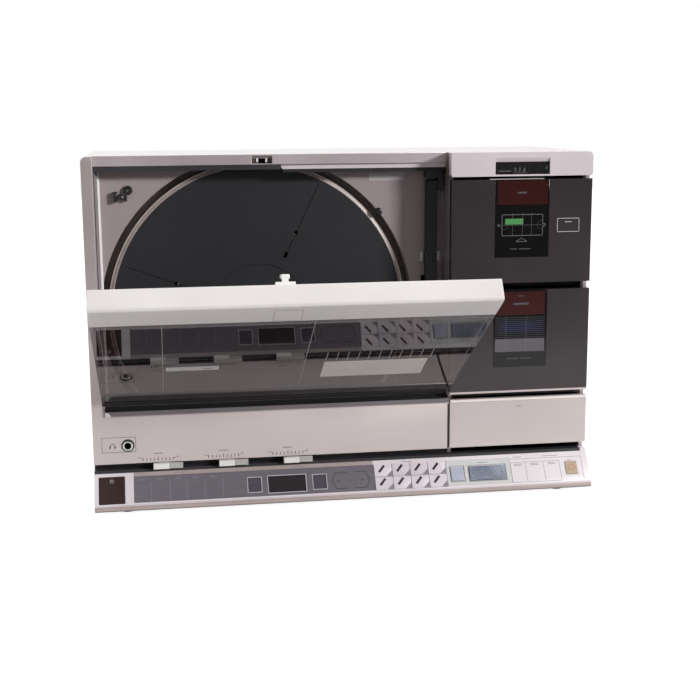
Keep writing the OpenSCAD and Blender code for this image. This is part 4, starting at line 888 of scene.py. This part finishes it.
# Rear: screws of the cover, coloured socket rings, terminal levers
screw = {"radius": 3.4, "dome": ((1, 0), (1, 1.1), (0.86, 1.7), (0.62, 2.0)), "sides": 24,
         "arm": 1.7, "half": 0.45, "taper": 0.7, "floor": 0.9,
         "spots": [(12, 12), (256, 9), (500, 12), (12, 180), (500, 180), (12, 336), (256, 339), (500, 336)]}
rearSocket = {"u": (197, 179, 161, 143), "steps": 28,
              "ring": [(4.3, 1.8), (4.3, 4.6), (4.9, 5), (5.8, 4.6), (6, 1.8)],
              "sleeve": [(1.7, 5.9), (1.7, 6.3), (3.9, 6.3), (4.25, 5.8), (4.25, 2), (4.15, 2), (4.15, 5.9)]}
terminal = {"lever": (93.5, 100, 9.2), "leverCoat": (3.4, 8.2), "pinHeight": 105.5, "steps": 20,
            "pin": [(0, 3.4), (1.2, 3.4), (1.2, 4.2), (2.4, 4.2), (2.4, 3.4)]}


def around(ring):
    return zip(ring, ring[1:] + ring[:1])


def screwHead():
    shape = bmesh.new()
    n, half, arm, taper = (screw[key] for key in ("sides", "half", "arm", "taper"))
    turns = [2 * pi * i / n for i in range(n)]
    rings = []
    for share, w in screw["dome"]:
        r = screw["radius"] * share
        rings.append([shape.verts.new((r * cos(t), r * sin(t), w)) for t in turns])
    cross = [(half, half), (half, arm), (-half, arm)]
    for quarter in range(3):
        cross += [(-v, u) for u, v in cross[-3:]]
    top = screw["dome"][-1][1]
    lip = [shape.verts.new((u, v, top)) for u, v in cross]
    floor = [shape.verts.new((u * taper, v * taper, screw["floor"])) for u, v in cross]
    for low, high in [*zip(rings, rings[1:]), (lip, floor)]:
        for (a, b), (d, c) in zip(around(low), around(high)):
            shape.faces.new((a, b, c, d))
    shape.faces.new(floor)
    edges = [shape.edges.get(pair) for ring in (rings[-1], lip) for pair in around(ring)]
    bmesh.ops.triangle_fill(shape, edges=edges, use_beauty=True)
    bmesh.ops.recalc_face_normals(shape, faces=shape.faces)
    mesh = bpy.data.meshes.new("screwHead")
    shape.to_mesh(mesh)
    shape.free()
    return placed("screwHead", mesh)


def screwMesh():
    head = screwHead()
    spots = [(cabinet["width"] - x, z, 0) for x, z in screw["spots"]]
    mesh = grown(setOnPoints, spots, {"Shape": head, "Finish": finishes["platedSteel"]})
    bpy.data.objects.remove(head)
    return mesh


def socketParts(ink, z):
    return [("hollow", finish, (u, z), rearSocket[part], rearSocket["steps"])
            for u in rearSocket["u"] for finish, part in ((ink, "ring"), ("platedSteel", "sleeve"))]


def terminalParts(ink, u):
    return [("upLine", ink, u, *terminal["lever"], terminal["leverCoat"]),
            ("turned", "platedSteel", (u, terminal["pinHeight"]), terminal["pin"], terminal["steps"])]


rearFace = faceFrame((halfWidth, cabinet["depth"], cabinet["foot"]), (-1, 0, 0), (0, 0, 1))
rearFittings = {"body": "frame", "face": rearFace, "smooth": 40, "parts": [
    ("take", "platedSteel", screwMesh()), *socketParts("signalRed", 93), *socketParts("whiteAcetalAndHighlight", 109),
    *terminalParts("blackAbsAndShade", 106), *terminalParts("signalRed", 91),
    *terminalParts("blackAbsAndShade", 76), *terminalParts("signalRed", 61)]}
drawn("rearFittings", **rearFittings)
print("rear dressed")


# Stage: a grey paper floor that takes the shadows and looks white, white behind, a dim room in front,
# a strong lamp at the right, weak ones at the left and above
stageLook = {"floor": "#9c9a99", "rough": 0.9, "lift": 0.9, "paper": (-4, 4, -0.85, 5), "room": 0.17,
             "sky": 1.25, "fade": (-0.35, 0.35), "aim": (0, 0, 0.18),
             "lamps": {"keyLamp": ((5.35, -3.94, 2.48), 1, 508), "fillLamp": ((-1.7, -1.7, 1.1), 1.4, 5),
                       "overLamp": ((0, -0.3, 2.4), 1.2, 8.5)}}


# 1 for a ray of one of these kinds, else 0
def rayMask(tree, first, *kinds):
    path = addNode(tree, "ShaderNodeLightPath").outputs
    mask = path[first]
    for kind in kinds:
        mask = addNode(tree, "ShaderNodeMath", {0: mask, 1: path[kind]}, operation="MAXIMUM").outputs[0]
    return mask


def makeStage(look):
    x0, x1, y0, y1 = look["paper"]
    floorMesh = bpy.data.meshes.new("floor")
    floorMesh.from_pydata([(x0, y0, 0), (x1, y0, 0), (x1, y1, 0), (x0, y1, 0)], [], [(0, 1, 2, 3)])
    floor = placed("floor", floorMesh)
    paper = bpy.data.materials.new("whitePaper")
    paper.use_nodes = True
    tree = paper.node_tree
    shader = tree.nodes["Principled BSDF"]
    shader.inputs["Base Color"].default_value = linear(look["floor"])
    shader.inputs["Roughness"].default_value = look["rough"]
    shader.inputs["Emission Color"].default_value = (1, 1, 1, 1)
    seen = rayMask(tree, "Is Camera Ray", "Is Transmission Ray", "Is Glossy Ray")
    glow = addNode(tree, "ShaderNodeMath", {0: seen, 1: look["lift"]}, operation="MULTIPLY")
    tree.links.new(glow.outputs[0], shader.inputs["Emission Strength"])
    floorMesh.materials.append(paper)

    world = bpy.data.worlds.new("studio")
    bpy.context.scene.world = world
    world.use_nodes = True
    tree = world.node_tree
    place = addNode(tree, "ShaderNodeTexCoord").outputs["Generated"]
    way = addNode(tree, "ShaderNodeSeparateXYZ", {0: place})
    near, far = look["fade"]
    depth = addNode(tree, "ShaderNodeMapRange",
                    {0: way.outputs["Y"], 1: near, 2: far, 3: look["room"], 4: look["sky"]},
                    interpolation_type="SMOOTHSTEP")
    seen = rayMask(tree, "Is Camera Ray", "Is Transmission Ray")
    level = addNode(tree, "ShaderNodeMapRange", {0: seen, 3: depth.outputs[0], 4: 1.0})
    tree.nodes["Background"].inputs["Color"].default_value = (1, 1, 1, 1)
    tree.links.new(level.outputs[0], tree.nodes["Background"].inputs["Strength"])

    for name, (spot, size, power) in look["lamps"].items():
        data = bpy.data.lights.new(name, "AREA")
        data.size = size
        data.energy = power
        lamp = placed(name, data)
        lamp.location = spot
        lamp.rotation_euler = (Vector(look["aim"]) - Vector(spot)).to_track_quat("-Z", "Y").to_euler()


makeStage(stageLook)
print("stage lit")
